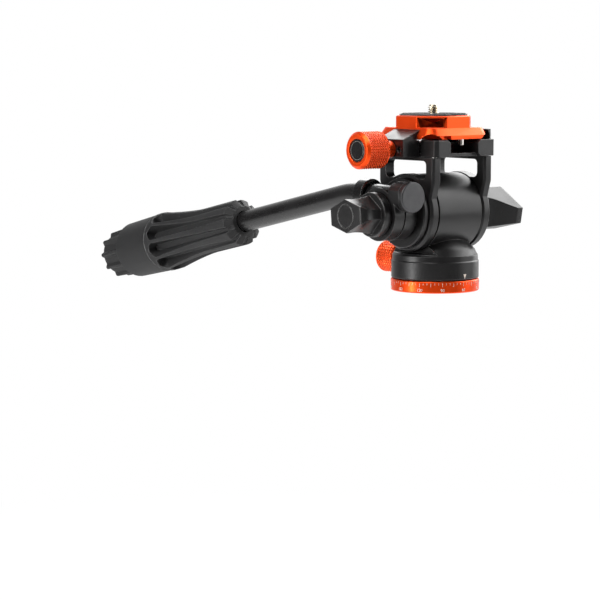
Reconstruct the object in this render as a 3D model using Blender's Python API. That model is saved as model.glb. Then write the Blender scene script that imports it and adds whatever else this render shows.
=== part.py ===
"""Compact fluid video head: pan base, tilting cradle, plate clamp and pan bar.

The origin is the centre of the base's bottom face. +Z points up, -Y points to the
front, where the lens looks, and the pan bar runs back along +Y on the -X side.
All sizes are in metres. Each empty stands on the joint axis of the pieces it carries.
"""
from math import asin, cos, dist, hypot, pi, radians, sin, sqrt, tan

import bmesh
import bpy
from mathutils import Matrix, Vector

# Fits and making
GAP = 0.0003
RUN_GAP = 0.0004
OVERRUN = 0.0030
MERGE = 0.000002
EDGE = 0.0005
BIG_STEPS = 48
MID_STEPS = 28
SMALL_STEPS = 20
CORNER_STEPS = 4
SHARP_ANGLE = radians(30)

# Base and scale ring
RING_PROUD = 0.0002
RING_WALL = 0.0033
RING_HEIGHT = 0.0070
BASE_HEIGHT = 0.0066
BASE_EDGE = 0.0006
SOCKET_RADIUS = 0.0042
SOCKET_DEPTH = 0.0110
INSERT_WALL = 0.0018
POST_RADIUS = 0.0075
POST_THREAD_RADIUS = 0.0050
POST_THREAD_LENGTH = 0.0060
POST_CLEARANCE = 0.0021

# Pan bearing, drag unit and nut
THRUST_THICKNESS = 0.0006
DRAG_THICKNESS = 0.0012
BUSH_WALL = 0.0014
BUSH_SHARE = 0.22
NUT_RADIUS = 0.0085
NUT_HEIGHT = 0.0040
NUT_SIDES = 6
SPRING_WASHER_THICKNESS = 0.0008
SPRING_WASHER_RADIUS = 0.0090

# Pan housing
HOUSING_RADIUS = 0.0258
HOUSING_WALL = 0.0035
WALL_HEIGHT = 0.0102
STEP_SIZE = 0.0005
BAND_HEIGHT = 0.0031
BAND_DRAFT = 0.0001
DOME_HEIGHT = 0.0112
DOME_TOP_RADIUS = 0.0110
DOME_SHARES = ((0.978, 0.055), (0.904, 0.24), (0.80, 0.39), (0.637, 0.563), (0.452, 0.714),
               (0.326, 0.83))
NUT_POCKET_RADIUS = 0.0115
SHOULDER_CLEARANCE = 0.0008

# Tilt barrel
TILT_HEIGHT = 0.0463
BARREL_RADIUS = 0.0225
BARREL_HALF = 0.0166
BORE_RADIUS = 0.0150
BEARING_RADIUS = 0.0175
BEARING_LENGTH = 0.0036
CASE_HALF = 0.0090
CASE_WALL = 0.0022
ROTOR_HALF = 0.0065

# Tilt axle
AXLE_RADIUS = 0.0060
STUD_RADIUS = 0.0039
STUD_REACH = 0.0140
LOCK_STUD_REACH = 0.0180

# Cradle side frames
CHEEK_RADIUS = 0.0229
CHEEK_THICKNESS = 0.0064
SIDE_GAP = 0.0004
LEG_HALF = 0.0238
LEG_WIDTH = 0.0065
LEG_LOW_RISE = 0.0185
NECK_RISE = 0.0090
FRAME_CHAMFER = 0.0012
WINDOW_TOP_RISE = 0.0307
WINDOW_LOW_RISE = 0.0202
WINDOW_TOP_CORNER = 0.0026
WINDOW_LOW_CORNER = 0.0030
RAIL_THICKNESS = 0.0019
BOSS_RADIUS = 0.0205
BOSS_THICKNESS = 0.0033

# Plate clamp tray
TRAY_FLOOR = 0.0020
TRAY_HALF_WIDTH = 0.0223
TRAY_HALF_DEPTH = 0.0220
TRAY_RIGHT_WALL = 0.0027
LUG_REACH = 0.0030
LUG_HEIGHT = 0.0096
LUG_INNER = 0.0108
LUG_CHAMFER = 0.0020
BLOCK_HEIGHT = 0.0060
BLOCK_HALF_WIDTH = 0.0200
FIXED_JAW_HALF = 0.0200
FIXED_JAW_REACH = 0.0053
FIXED_JAW_CORNER = 0.0037
JAW_LIP = 0.0008

# Movable jaw and its screw
JAW_HALF_DEPTH = 0.0110
JAW_WIDTH = 0.0126
JAW_SHOULDER = 0.0102
CLAMP_SCREW_RISE = 0.0372
CLAMP_SCREW_RADIUS = 0.0030
CLAMP_SCREW_REACH = 0.0160
GUIDE_RADIUS = 0.0015
GUIDE_SPACING = 0.0150
GUIDE_LENGTH = 0.0220
SPRING_COIL_RADIUS = 0.0042
SPRING_WIRE = 0.0005
SPRING_LENGTH = 0.0084
SPRING_TURNS = 4
SPRING_STEPS = 10
SPRING_SIDES = 5
YOKE_SCREW_RADIUS = 0.0014
YOKE_SCREW_HEAD = 0.0024
YOKE_SCREW_LENGTH = 0.0090
YOKE_SCREW_HEAD_HEIGHT = 0.0015

# Plate clamp knob
PLATE_KNOB_RADIUS = 0.0108
PLATE_KNOB_LENGTH = 0.0177
PLATE_KNOB_BEVEL = 0.0016
PLATE_KNOB_NECK = 0.0050
PLATE_KNOB_NECK_LENGTH = 0.0078
PLATE_KNOB_DISC = 0.0065
PLATE_KNOB_DISC_DEPTH = 0.0012
KNURL_TEETH = 30
KNURL_DEPTH = 0.0003

# Quick release plate
PLATE_HALF = 0.0244
PLATE_BACK = 0.0020
PLATE_CORNER = 0.0080
FLANGE_EDGE = 0.0022
FLANGE_BEVEL_RISE = 0.0044
FLANGE_BEVEL_RUN = 0.0030
DECK_HALF = 0.0215
DECK_HEIGHT = 0.0069
DECK_EDGE = 0.0006
SLOT_WIDTH = 0.0130
SLOT_HEIGHT = 0.0053
SLOT_FLOOR = 0.0003
HUB_RADIUS = 0.0105
CHANNEL_RADIUS = 0.0073
CHANNEL_DROP = 0.0040
STEP_START = 0.0083
STEP_DEPTH = 0.0032
PAD_HALF = 0.0197
PAD_THICKNESS = 0.0008
STOP_PIN_RADIUS = 0.0017
STOP_PIN_PLACE = 0.0204
STOP_PIN_SIDE = 0.0032
STOP_PIN_DROP = 0.0035
STOP_PIN_SEAT = 0.0030

# Camera screw
SCREW_RADIUS = 0.00317
SCREW_ROOT = 0.00255
SCREW_PITCH = 0.00127
SCREW_PROUD = 0.0051
SCREW_HEAD_RADIUS = 0.0075
SCREW_HEAD_HEIGHT = 0.0024
SCREW_HEAD_RISE = 0.0060
SCREW_SLOT_WIDTH = 0.0014
SCREW_SLOT_DEPTH = 0.0012

# Pan bar clamp
FRICTION_THICKNESS = 0.0008
FRICTION_RADIUS = 0.0130
JAW_RADIUS = 0.0155
INNER_JAW_WIDTH = 0.0084
OUTER_JAW_WIDTH = 0.0074
JAW_SLOT = 0.0008
EAR_RADIUS = 0.0087
EAR_FRONT = 0.0182
EAR_BACK = 0.0088
BAR_RISE = 0.0105

# Pan bar
BAR_RADIUS = 0.0065
BAR_WALL = 0.0012
BAR_BORE_GAP = 0.0002
CAP_RADIUS = 0.0090
CAP_LENGTH = 0.0035
CAP_SPIGOT = 0.0060
COLLAR_RADIUS = 0.0093
COLLAR_START = 0.0127
COLLAR_LENGTH = 0.0091
COLLAR_EDGE = 0.0010
BEND_START = 0.0220
BEND_ANGLE = radians(12.3)
BEND_RADIUS = 0.0873
BEND_STEPS = 7

# Grip
GRIP_START = 0.1340
GRIP_LENGTH = 0.1400
GRIP_RIBS = 10
GRIP_FLOOR = 0.0124
GRIP_NOSE_RADIUS = 0.0120
GRIP_CREST = 0.0144
GRIP_BAND_START = 0.0840
GRIP_BAND_END = 0.1217
GRIP_BAND_RADIUS = 0.0190
GRIP_BAND_TAPER = 0.0011
GRIP_TAIL_RADIUS = 0.0166
GRIP_TAIL_FLOOR = 0.0148
GRIP_TAIL_TAPER = 0.0009
GRIP_FLARE_SHARES = ((0.0, 0.0), (0.55, 0.03), (0.70, 0.24), (0.84, 0.53), (1.0, 0.93))
GRIP_BEVEL = 0.0032
GRIP_STEP = 0.0008
GRIP_RIB_SHARE = 0.60
GRIP_RIB_END_SHARE = 0.17
GRIP_FLANK_SHARE = 0.5
CORE_WALL = 0.0022
CORE_END = 0.0060
PLUG_RADIUS = 0.0080
PLUG_LENGTH = 0.0040

# Wing knob on the pan bar clamp
ARM_KNOB_FLANGE_RADIUS = 0.0130
ARM_KNOB_FLANGE = 0.0053
ARM_KNOB_LENGTH = 0.0240
ARM_KNOB_HALF = 0.0126
ARM_KNOB_PEAK = 0.0094
ARM_KNOB_TIP = 0.0047
ARM_KNOB_TURN = radians(-5.0)
ARM_INSERT_WALL = 0.0020
ARM_INSERT_LENGTH = 0.0100

# Wing knob of the tilt lock
TILT_KNOB_FLANGE_RADIUS = 0.0160
TILT_KNOB_FLANGE = 0.0030
TILT_KNOB_LENGTH = 0.0263
TILT_KNOB_HALF = 0.0210
TILT_KNOB_PEAK = 0.0130
TILT_KNOB_TIP = 0.0047
TILT_KNOB_TURN = radians(10.0)
PRESSURE_THICKNESS = 0.0009
PRESSURE_RADIUS = 0.0150
ARM_WING_SHARES = ((0.0, 0.74, 1.15, 0.95), (0.28, 0.64, 1.06, 0.75), (0.50, 0.66, 1.02, 0.70),
                   (0.71, 0.79, 1.0, 0.84), (0.87, 0.93, 1.0, 0.96), (0.965, 1.0, 1.0, 1.0),
                   (1.0, 0.97, 0.96, 0.94))
TILT_WING_SHARES = ((0.0, 0.44, 1.0, 1.99), (0.15, 0.46, 1.0, 1.95), (0.31, 0.54, 1.0, 1.81),
                    (0.46, 0.67, 1.0, 1.58), (0.62, 0.83, 1.0, 1.30), (0.78, 0.97, 1.0, 1.05),
                    (0.84, 1.0, 1.0, 1.0), (0.97, 1.0, 1.0, 1.0), (1.0, 0.97, 0.97, 0.94))
WING_EDGE_POINTS = 5

# Pan lock knob and brake shoe
PAN_KNOB_RADIUS = 0.0094
PAN_KNOB_LENGTH = 0.0158
PAN_KNOB_BEVEL = 0.0012
PAN_KNOB_NECK = 0.0050
PAN_KNOB_NECK_LENGTH = 0.0050
SHOE_SHARE = 0.20
SHOE_LENGTH = 0.0050
SHOE_GAP = 0.0003

# Sizes that follow from those above
RING_RADIUS = HOUSING_RADIUS + RING_PROUD
BASE_RADIUS = RING_RADIUS - RING_WALL - GAP
INSERT_RADIUS = SOCKET_RADIUS + INSERT_WALL
HOUSING_LOW = RING_HEIGHT + RUN_GAP
THRUST_LOW = BASE_HEIGHT + GAP
ROTOR_LOW = THRUST_LOW + THRUST_THICKNESS + GAP
STATOR_LOW = ROTOR_LOW + DRAG_THICKNESS + GAP
WEB_LOW = STATOR_LOW + DRAG_THICKNESS + GAP
POST_TOP = TILT_HEIGHT - BORE_RADIUS - POST_CLEARANCE - POST_THREAD_LENGTH
WEB_TOP = POST_TOP + GAP
WEB_HEIGHT = WEB_TOP - WEB_LOW
CUP_RADIUS = HOUSING_RADIUS - HOUSING_WALL
BUSH_BORE = POST_RADIUS + GAP
BUSH_OUTER = BUSH_BORE + BUSH_WALL
BUSH_LENGTH = BUSH_SHARE * WEB_HEIGHT
HUB_BORE = BUSH_OUTER + GAP
NUT_LOW = WEB_TOP + 2 * GAP + SPRING_WASHER_THICKNESS
PAN_KNOB_HEIGHT = WEB_LOW + WEB_HEIGHT / 2
SHOE_RADIUS = SHOE_SHARE * WEB_HEIGHT
BAND_LOW = HOUSING_LOW + WALL_HEIGHT + STEP_SIZE
BAND_RADIUS = HOUSING_RADIUS - STEP_SIZE
DOME_LOW = BAND_LOW + BAND_HEIGHT + STEP_SIZE
DOME_RADIUS = BAND_RADIUS - BAND_DRAFT - STEP_SIZE

CHEEK_INNER = BARREL_HALF + SIDE_GAP
CHEEK_OUTER = CHEEK_INNER + CHEEK_THICKNESS
BOSS_INNER = CHEEK_OUTER + GAP
BOSS_OUTER = BOSS_INNER + BOSS_THICKNESS
FRICTION_INNER = BOSS_OUTER + GAP
JAW_INNER = FRICTION_INNER + FRICTION_THICKNESS + GAP
SLOT_INNER = JAW_INNER + INNER_JAW_WIDTH
SLOT_OUTER = SLOT_INNER + JAW_SLOT
JAW_OUTER = SLOT_OUTER + OUTER_JAW_WIDTH
BAR_PLACE = (SLOT_INNER + SLOT_OUTER) / 2
STUD_BORE = STUD_RADIUS + GAP
AXLE_BORE = AXLE_RADIUS + GAP
BAR_BORE = BAR_RADIUS + BAR_BORE_GAP
PRESSURE_INNER = CHEEK_OUTER + GAP
TILT_KNOB_START = PRESSURE_INNER + PRESSURE_THICKNESS + GAP
ARM_KNOB_START = JAW_OUTER + GAP

RAIL_TOP_RISE = WINDOW_TOP_RISE + RAIL_THICKNESS
TRAY_LOW_RISE = RAIL_TOP_RISE + GAP
FLOOR_TOP_RISE = TRAY_LOW_RISE + TRAY_FLOOR
LUG_TOP_RISE = TRAY_LOW_RISE + LUG_HEIGHT
PLATE_LOW_RISE = LUG_TOP_RISE + GAP
BEVEL_LOW_RISE = PLATE_LOW_RISE + FLANGE_EDGE
FLANGE_TOP_RISE = BEVEL_LOW_RISE + FLANGE_BEVEL_RISE
DECK_TOP_RISE = FLANGE_TOP_RISE + DECK_HEIGHT
PAD_LOW_RISE = DECK_TOP_RISE + GAP
PAD_TOP_RISE = PAD_LOW_RISE + PAD_THICKNESS
JAW_TOP_RISE = FLANGE_TOP_RISE - JAW_LIP - GAP
JAW_ROOT = TRAY_HALF_WIDTH - FLANGE_BEVEL_RUN
JAW_NEAR = TRAY_HALF_WIDTH + GAP
JAW_FAR = JAW_NEAR + JAW_WIDTH
SLOT_LOW_RISE = FLANGE_TOP_RISE + SLOT_FLOOR
SCREW_HEAD_BORE = SCREW_HEAD_RADIUS + GAP
SCREW_HEAD_LOW = PLATE_LOW_RISE + SCREW_HEAD_RISE
BAR_FRONT = EAR_FRONT + GAP


# Materials
def surface(name, colour, roughness, metallic):
    """A plain Principled material."""
    made = bpy.data.materials.new(name)
    made.use_nodes = True
    shader = made.node_tree.nodes["Principled BSDF"]
    shader.inputs["Base Color"].default_value = (*colour, 1)
    shader.inputs["Roughness"].default_value = roughness
    shader.inputs["Metallic"].default_value = metallic
    return made


def make_surfaces():
    return {
        "black": surface("black_anodised", (0.022, 0.021, 0.022), 0.42, 0.6),
        "orange": surface("orange_anodised", (0.83, 0.11, 0.015), 0.32, 0.7),
        "rubber": surface("dark_rubber", (0.030, 0.030, 0.031), 0.75, 0.0),
        "steel": surface("bright_steel", (0.60, 0.58, 0.54), 0.28, 1.0),
        "bronze": surface("bearing_bronze", (0.50, 0.33, 0.14), 0.40, 1.0),
        "plastic": surface("slick_plastic", (0.62, 0.60, 0.55), 0.50, 0.0),
        "grey": surface("brushed_cap", (0.17, 0.17, 0.175), 0.35, 0.9),
    }


# Mesh helpers
def axis_turn(axis):
    """The rotation that carries +Z to the named axis."""
    if axis == "X":
        return Matrix.Rotation(pi / 2, 4, "Y")
    if axis == "Y":
        return Matrix.Rotation(-pi / 2, 4, "X")
    return Matrix.Identity(4)


def circle_points(radius, steps, turn=0.0):
    return [(radius * cos(turn + 2 * pi * i / steps), radius * sin(turn + 2 * pi * i / steps))
            for i in range(steps)]


def rounded_rectangle(half_width, half_height, corner):
    """Corner arcs joined by straight sides, counter-clockwise from the right."""
    centres = ((1, 1), (-1, 1), (-1, -1), (1, -1))
    points = []
    for quarter, (side, level) in enumerate(centres):
        for step in range(CORNER_STEPS + 1):
            angle = pi / 2 * (quarter + step / CORNER_STEPS)
            points.append((side * (half_width - corner) + corner * cos(angle),
                           level * (half_height - corner) + corner * sin(angle)))
    return points


def octagon_points(half):
    corner = half * tan(pi / 8)
    return [(half, corner), (corner, half), (-corner, half), (-half, corner),
            (-half, -corner), (-corner, -half), (corner, -half), (half, -corner)]


def ring_profile(inner, outer, low, high, edge=0.0):
    """The section of a disc or a ring, with chamfers on its outer edges."""
    if edge == 0:
        return [(inner, low), (outer, low), (outer, high), (inner, high)]
    return [(inner, low), (outer - edge, low), (outer, low + edge),
            (outer, high - edge), (outer - edge, high), (inner, high)]


def finish_mesh(bm, name, matrix=None):
    bmesh.ops.remove_doubles(bm, verts=bm.verts, dist=MERGE)
    bmesh.ops.recalc_face_normals(bm, faces=bm.faces)
    if matrix is not None:
        bm.transform(matrix)
    mesh = bpy.data.meshes.new(name)
    bm.to_mesh(mesh)
    bm.free()
    return mesh


def turned_mesh(name, profile, steps, axis="Z", turn=0.0):
    """Spin a section of (radius, height) points once round the axis."""
    bm = bmesh.new()
    verts = [bm.verts.new((r, 0, h)) for r, h in profile]
    edges = [bm.edges.new(pair) for pair in zip(verts, verts[1:])]
    if profile[0][0] > 0:
        edges.append(bm.edges.new((verts[-1], verts[0])))
    bmesh.ops.rotate(bm, verts=verts, cent=(0, 0, 0), matrix=Matrix.Rotation(turn, 3, "Z"))
    bmesh.ops.spin(bm, geom=verts + edges, cent=(0, 0, 0), axis=(0, 0, 1),
                   angle=2 * pi, steps=steps, use_merge=True)
    return finish_mesh(bm, name, axis_turn(axis))


def loft_mesh(name, rings, closed=False, matrix=None):
    """Skin equal rings of points, capped at both ends or closed into a tube."""
    bm = bmesh.new()
    loops = [[bm.verts.new(point) for point in ring] for ring in rings]
    followers = loops[1:] + loops[:1] if closed else loops[1:]
    for first, second in zip(loops, followers):
        for i in range(len(first)):
            bm.faces.new((first[i - 1], first[i], second[i], second[i - 1]))
    if not closed:
        bm.faces.new(loops[0])
        bm.faces.new(loops[-1])
    return finish_mesh(bm, name, matrix)


def prism_mesh(name, outline, low, high, axis="Z"):
    """Push an outline from low to high along the axis.

    The outline holds (x, y) points for Z, (y, z) for X and (x, z) for Y.
    """
    def place(point, level):
        a, b = point
        return {"X": (level, a, b), "Y": (a, level, b), "Z": (a, b, level)}[axis]
    return loft_mesh(name, [[place(p, low) for p in outline], [place(p, high) for p in outline]])


def box_mesh(name, low, high):
    outline = [(low[0], low[1]), (high[0], low[1]), (high[0], high[1]), (low[0], high[1])]
    return prism_mesh(name, outline, low[2], high[2])


def joined_mesh(name, meshes):
    """Gather separate closed shells into one mesh, for a cutter."""
    bm = bmesh.new()
    for mesh in meshes:
        bm.from_mesh(mesh)
    gathered = bpy.data.meshes.new(name)
    bm.to_mesh(gathered)
    bm.free()
    return gathered


# Scene helpers
def clear_scene():
    for obj in list(bpy.data.objects):
        bpy.data.objects.remove(obj, do_unlink=True)


def pivot(name, place=(0, 0, 0), parent=None):
    """An empty on a joint axis. The place is given from the parent's place."""
    empty = bpy.data.objects.new(name, None)
    empty.location = place
    empty.parent = parent
    empty.empty_display_size = RING_RADIUS
    bpy.context.scene.collection.objects.link(empty)
    return empty


def add_piece(name, mesh, material, parent):
    mesh.materials.clear()
    mesh.materials.append(material)
    mesh.shade_smooth()
    mesh.set_sharp_from_angle(angle=SHARP_ANGLE)
    obj = bpy.data.objects.new(name, mesh)
    obj.parent = parent
    bpy.context.scene.collection.objects.link(obj)
    return obj


def shape_with(piece, mesh, operation="DIFFERENCE"):
    """Cut, join or trim a piece with a helper solid that stays out of the model."""
    helper = bpy.data.objects.new(mesh.name, mesh)
    helper.parent = piece.parent
    helper.hide_render = True
    helper.display_type = "WIRE"
    bpy.context.scene.collection.objects.link(helper)
    step = piece.modifiers.new(mesh.name, "BOOLEAN")
    step.operation = operation
    step.solver = "EXACT"
    step.object = helper


# Base
def make_base_block(parent, look):
    pocket = INSERT_RADIUS + GAP
    ceiling = SOCKET_DEPTH + GAP
    profile = [(0, ceiling), (pocket, ceiling), (pocket, 0), (BASE_RADIUS - BASE_EDGE, 0),
               (BASE_RADIUS, BASE_EDGE), (BASE_RADIUS, BASE_HEIGHT), (POST_RADIUS, BASE_HEIGHT),
               (POST_RADIUS, POST_TOP), (POST_THREAD_RADIUS, POST_TOP),
               (POST_THREAD_RADIUS, POST_TOP + POST_THREAD_LENGTH),
               (0, POST_TOP + POST_THREAD_LENGTH)]
    add_piece("base_block", turned_mesh("base_block", profile, BIG_STEPS), look["black"], parent)


def make_socket_insert(parent, look):
    profile = ring_profile(SOCKET_RADIUS, INSERT_RADIUS, 0, SOCKET_DEPTH, EDGE)
    mesh = turned_mesh("socket_insert", profile, SMALL_STEPS)
    add_piece("socket_insert", mesh, look["steel"], parent)


def make_scale_ring(parent, look):
    profile = ring_profile(RING_RADIUS - RING_WALL, RING_RADIUS, 0, RING_HEIGHT, EDGE)
    add_piece("scale_ring", turned_mesh("scale_ring", profile, BIG_STEPS), look["orange"], parent)


def make_pan_bearing(base, housing, look):
    """Thrust washer, drag discs, bushes, spring washer and nut on the base's post."""
    hub = POST_RADIUS + GAP
    drag_outer = CUP_RADIUS - GAP
    discs = (("thrust_washer", hub, drag_outer, THRUST_LOW, THRUST_THICKNESS, "plastic", base),
             ("pan_drag_rotor", hub, drag_outer, ROTOR_LOW, DRAG_THICKNESS, "steel", base),
             ("pan_drag_stator", hub, drag_outer, STATOR_LOW, DRAG_THICKNESS, "bronze", housing))
    for name, inner, outer, low, thickness, kind, parent in discs:
        profile = ring_profile(inner, outer, low, low + thickness)
        add_piece(name, turned_mesh(name, profile, MID_STEPS), look[kind], parent)
    bushes = (("pan_bush_lower", WEB_LOW + GAP), ("pan_bush_upper", WEB_TOP - GAP - BUSH_LENGTH))
    for name, low in bushes:
        profile = ring_profile(BUSH_BORE, BUSH_OUTER, low, low + BUSH_LENGTH)
        add_piece(name, turned_mesh(name, profile, MID_STEPS), look["bronze"], housing)
    thread_bore = POST_THREAD_RADIUS + GAP
    washer_low = WEB_TOP + GAP
    profile = ring_profile(thread_bore, SPRING_WASHER_RADIUS, washer_low,
                           washer_low + SPRING_WASHER_THICKNESS)
    mesh = turned_mesh("pan_spring_washer", profile, SMALL_STEPS)
    add_piece("pan_spring_washer", mesh, look["steel"], base)
    inner = [(x, y, level) for level in (NUT_LOW, NUT_LOW + NUT_HEIGHT)
             for x, y in circle_points(thread_bore, SMALL_STEPS)]
    make_nut("pan_retaining_nut", inner, base, look)


def make_nut(name, inner, parent, look):
    """A hexagon nut: its flat sides are sampled to meet the round bore step for step."""
    count = len(inner) // 2
    outer = []
    for x, y, level in inner:
        angle = Vector((x, y)).angle_signed(Vector((1, 0)))
        from_flat = (angle + pi / NUT_SIDES) % (2 * pi / NUT_SIDES) - pi / NUT_SIDES
        reach = NUT_RADIUS * cos(pi / NUT_SIDES) / cos(from_flat)
        outer.append((reach * cos(angle), reach * sin(angle), level))
    rings = [outer[:count], outer[count:], inner[count:], inner[:count]]
    add_piece(name, loft_mesh(name, rings, closed=True), look["steel"], parent)


# Pan housing
def housing_profile():
    profile = [(0, HOUSING_LOW), (HOUSING_RADIUS - EDGE, HOUSING_LOW),
               (HOUSING_RADIUS, HOUSING_LOW + EDGE),
               (HOUSING_RADIUS, HOUSING_LOW + WALL_HEIGHT), (BAND_RADIUS, BAND_LOW),
               (BAND_RADIUS - BAND_DRAFT, BAND_LOW + BAND_HEIGHT), (DOME_RADIUS, DOME_LOW)]
    span = DOME_RADIUS - DOME_TOP_RADIUS
    for radius_share, height_share in DOME_SHARES:
        profile.append((DOME_TOP_RADIUS + span * radius_share,
                        DOME_LOW + DOME_HEIGHT * height_share))
    top = DOME_LOW + DOME_HEIGHT
    return profile + [(DOME_TOP_RADIUS, top), (0, top)]


def make_pan_housing(parent, look):
    piece = add_piece("pan_housing", turned_mesh("pan_housing", housing_profile(), BIG_STEPS),
                      look["black"], parent)
    lift = Matrix.Translation((0, 0, TILT_HEIGHT))

    end = BARREL_HALF + OVERRUN
    barrel = ring_profile(0, BARREL_RADIUS, -end, end)
    mesh = turned_mesh("housing_barrel", barrel, BIG_STEPS, "X", pi / BIG_STEPS)
    mesh.transform(lift)
    shape_with(piece, mesh, "UNION")

    shoulder = TILT_HEIGHT - CHEEK_RADIUS - SHOULDER_CLEARANCE
    reach = HOUSING_RADIUS + OVERRUN
    top = TILT_HEIGHT + BARREL_RADIUS + OVERRUN
    sides = [box_mesh("side", (BARREL_HALF, -reach, shoulder), (reach, reach, top)),
             box_mesh("side", (-reach, -reach, shoulder), (-BARREL_HALF, reach, top))]
    shape_with(piece, joined_mesh("housing_side_cut", sides))

    seat = BARREL_HALF - BEARING_LENGTH - GAP
    bore = [(0, -end), (BEARING_RADIUS, -end), (BEARING_RADIUS, -seat), (BORE_RADIUS, -seat),
            (BORE_RADIUS, seat), (BEARING_RADIUS, seat), (BEARING_RADIUS, end), (0, end)]
    mesh = turned_mesh("housing_bore", bore, MID_STEPS, "X")
    mesh.transform(lift)
    shape_with(piece, mesh)

    cup = [(0, HOUSING_LOW - OVERRUN), (CUP_RADIUS, HOUSING_LOW - OVERRUN), (CUP_RADIUS, WEB_LOW),
           (HUB_BORE, WEB_LOW), (HUB_BORE, WEB_TOP), (NUT_POCKET_RADIUS, WEB_TOP),
           (NUT_POCKET_RADIUS, TILT_HEIGHT - BORE_RADIUS / 2), (0, TILT_HEIGHT - BORE_RADIUS / 2)]
    shape_with(piece, turned_mesh("housing_cup", cup, MID_STEPS))

    neck = PAN_KNOB_NECK + GAP
    seat = HOUSING_RADIUS - HOUSING_WALL
    screw = SHOE_RADIUS + GAP
    bore = [(0, POST_RADIUS), (screw, POST_RADIUS), (screw, seat), (neck, seat),
            (neck, HOUSING_RADIUS + OVERRUN), (0, HOUSING_RADIUS + OVERRUN)]
    mesh = turned_mesh("housing_knob_bore", bore, SMALL_STEPS, "Y")
    mesh.transform(Matrix.Translation((0, 0, PAN_KNOB_HEIGHT)))
    shape_with(piece, mesh)


def make_tilt_bearings(parent, look):
    low = BARREL_HALF - BEARING_LENGTH
    outer = BEARING_RADIUS - GAP
    for name, sign in (("tilt_bearing_left", -1), ("tilt_bearing_right", 1)):
        levels = sorted((sign * low, sign * BARREL_HALF))
        profile = ring_profile(AXLE_BORE, outer, *levels)
        mesh = turned_mesh(name, profile, MID_STEPS, "X")
        add_piece(name, mesh, look["bronze"], parent)


def make_damper_case(parent, look):
    """A drum of thick fluid fixed in the barrel, open at both ends for its rotor."""
    outer = BORE_RADIUS - GAP
    inner = outer - CASE_WALL
    profile = ring_profile(inner, outer, -CASE_HALF, CASE_HALF)
    mesh = turned_mesh("tilt_damper_case", profile, MID_STEPS, "X")
    add_piece("tilt_damper_case", mesh, look["black"], parent)


def make_damper_rotor(parent, look):
    outer = BORE_RADIUS - GAP - CASE_WALL - GAP
    profile = ring_profile(AXLE_BORE, outer, -ROTOR_HALF, ROTOR_HALF)
    mesh = turned_mesh("tilt_damper_rotor", profile, MID_STEPS, "X")
    add_piece("tilt_damper_rotor", mesh, look["plastic"], parent)


# Pan lock
def make_pan_lock(shoe_pivot, knob_pivot, look):
    """The brake shoe, and the knurled knob whose screw pushes it on the post."""
    start = POST_RADIUS + SHOE_GAP
    profile = ring_profile(0, SHOE_RADIUS, start, start + SHOE_LENGTH)
    mesh = turned_mesh("pan_brake_shoe", profile, SMALL_STEPS, "Y")
    add_piece("pan_brake_shoe", mesh, look["bronze"], shoe_pivot)

    screw_start = start + SHOE_LENGTH + GAP
    knob_start = HOUSING_RADIUS - HOUSING_WALL + GAP
    body_start = knob_start + PAN_KNOB_NECK_LENGTH
    screw_end = body_start + PAN_KNOB_LENGTH / 2
    profile = ring_profile(0, SHOE_RADIUS, screw_start, screw_end)
    mesh = turned_mesh("pan_lock_screw", profile, SMALL_STEPS, "Y")
    add_piece("pan_lock_screw", mesh, look["steel"], knob_pivot)

    levels = knob_levels(PAN_KNOB_NECK, knob_start, PAN_KNOB_RADIUS, body_start,
                         PAN_KNOB_LENGTH, PAN_KNOB_BEVEL)
    mesh = knurled_mesh("pan_lock_knob", levels, PAN_KNOB_RADIUS, "Y")
    piece = add_piece("pan_lock_knob", mesh, look["orange"], knob_pivot)
    bore = ring_profile(0, SHOE_RADIUS + GAP, knob_start - OVERRUN, screw_end + GAP)
    shape_with(piece, turned_mesh("pan_knob_bore", bore, SMALL_STEPS, "Y"))


def knob_levels(neck, neck_start, radius, start, length, bevel):
    """Stations of a knob along its axis, as (height, radius) pairs."""
    return [(neck_start, neck), (start, neck), (start, radius - bevel),
            (start + bevel, radius), (start + length - bevel, radius),
            (start + length, radius - bevel)]


def knurled_mesh(name, levels, full_radius, axis):
    """A turned knob whose widest part carries a ring of teeth."""
    rings = []
    for height, radius in levels:
        tooth = KNURL_DEPTH if radius == full_radius else 0
        ring = []
        for i in range(2 * KNURL_TEETH):
            angle = pi * i / KNURL_TEETH
            reach = radius - tooth * (i % 2)
            ring.append((reach * cos(angle), reach * sin(angle), height))
        rings.append(ring)
    return loft_mesh(name, rings, matrix=axis_turn(axis))


# Cradle
def frame_outline(inset):
    """A disc below and two legs above, joined by slopes, as (y, z) from the tilt axis."""
    radius = CHEEK_RADIUS - inset
    leg = LEG_HALF - inset
    start = asin(NECK_RISE / radius)
    half = BIG_STEPS // 2
    points = []
    for i in range(half + 1):
        angle = start - (pi + 2 * start) * i / half
        points.append((radius * cos(angle), radius * sin(angle)))
    return points + [(-leg, LEG_LOW_RISE), (-leg, RAIL_TOP_RISE),
                     (leg, RAIL_TOP_RISE), (leg, LEG_LOW_RISE)]


def window_outline():
    """The hole between the legs, whose lower edge clears the barrel's top."""
    half = LEG_HALF - LEG_WIDTH
    points = []
    corners = ((1, WINDOW_TOP_RISE, WINDOW_TOP_CORNER, 0), (-1, WINDOW_TOP_RISE, WINDOW_TOP_CORNER, 1),
               (-1, WINDOW_LOW_RISE, WINDOW_LOW_CORNER, 2), (1, WINDOW_LOW_RISE, WINDOW_LOW_CORNER, 3))
    for side, level, corner, quarter in corners:
        centre_y = side * (half - corner)
        centre_z = level - corner if quarter < 2 else level + corner
        for step in range(CORNER_STEPS + 1):
            angle = pi / 2 * (quarter + step / CORNER_STEPS)
            points.append((centre_y + corner * cos(angle), centre_z + corner * sin(angle)))
        if quarter == 2:
            points += crown_points()
    return points


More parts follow.
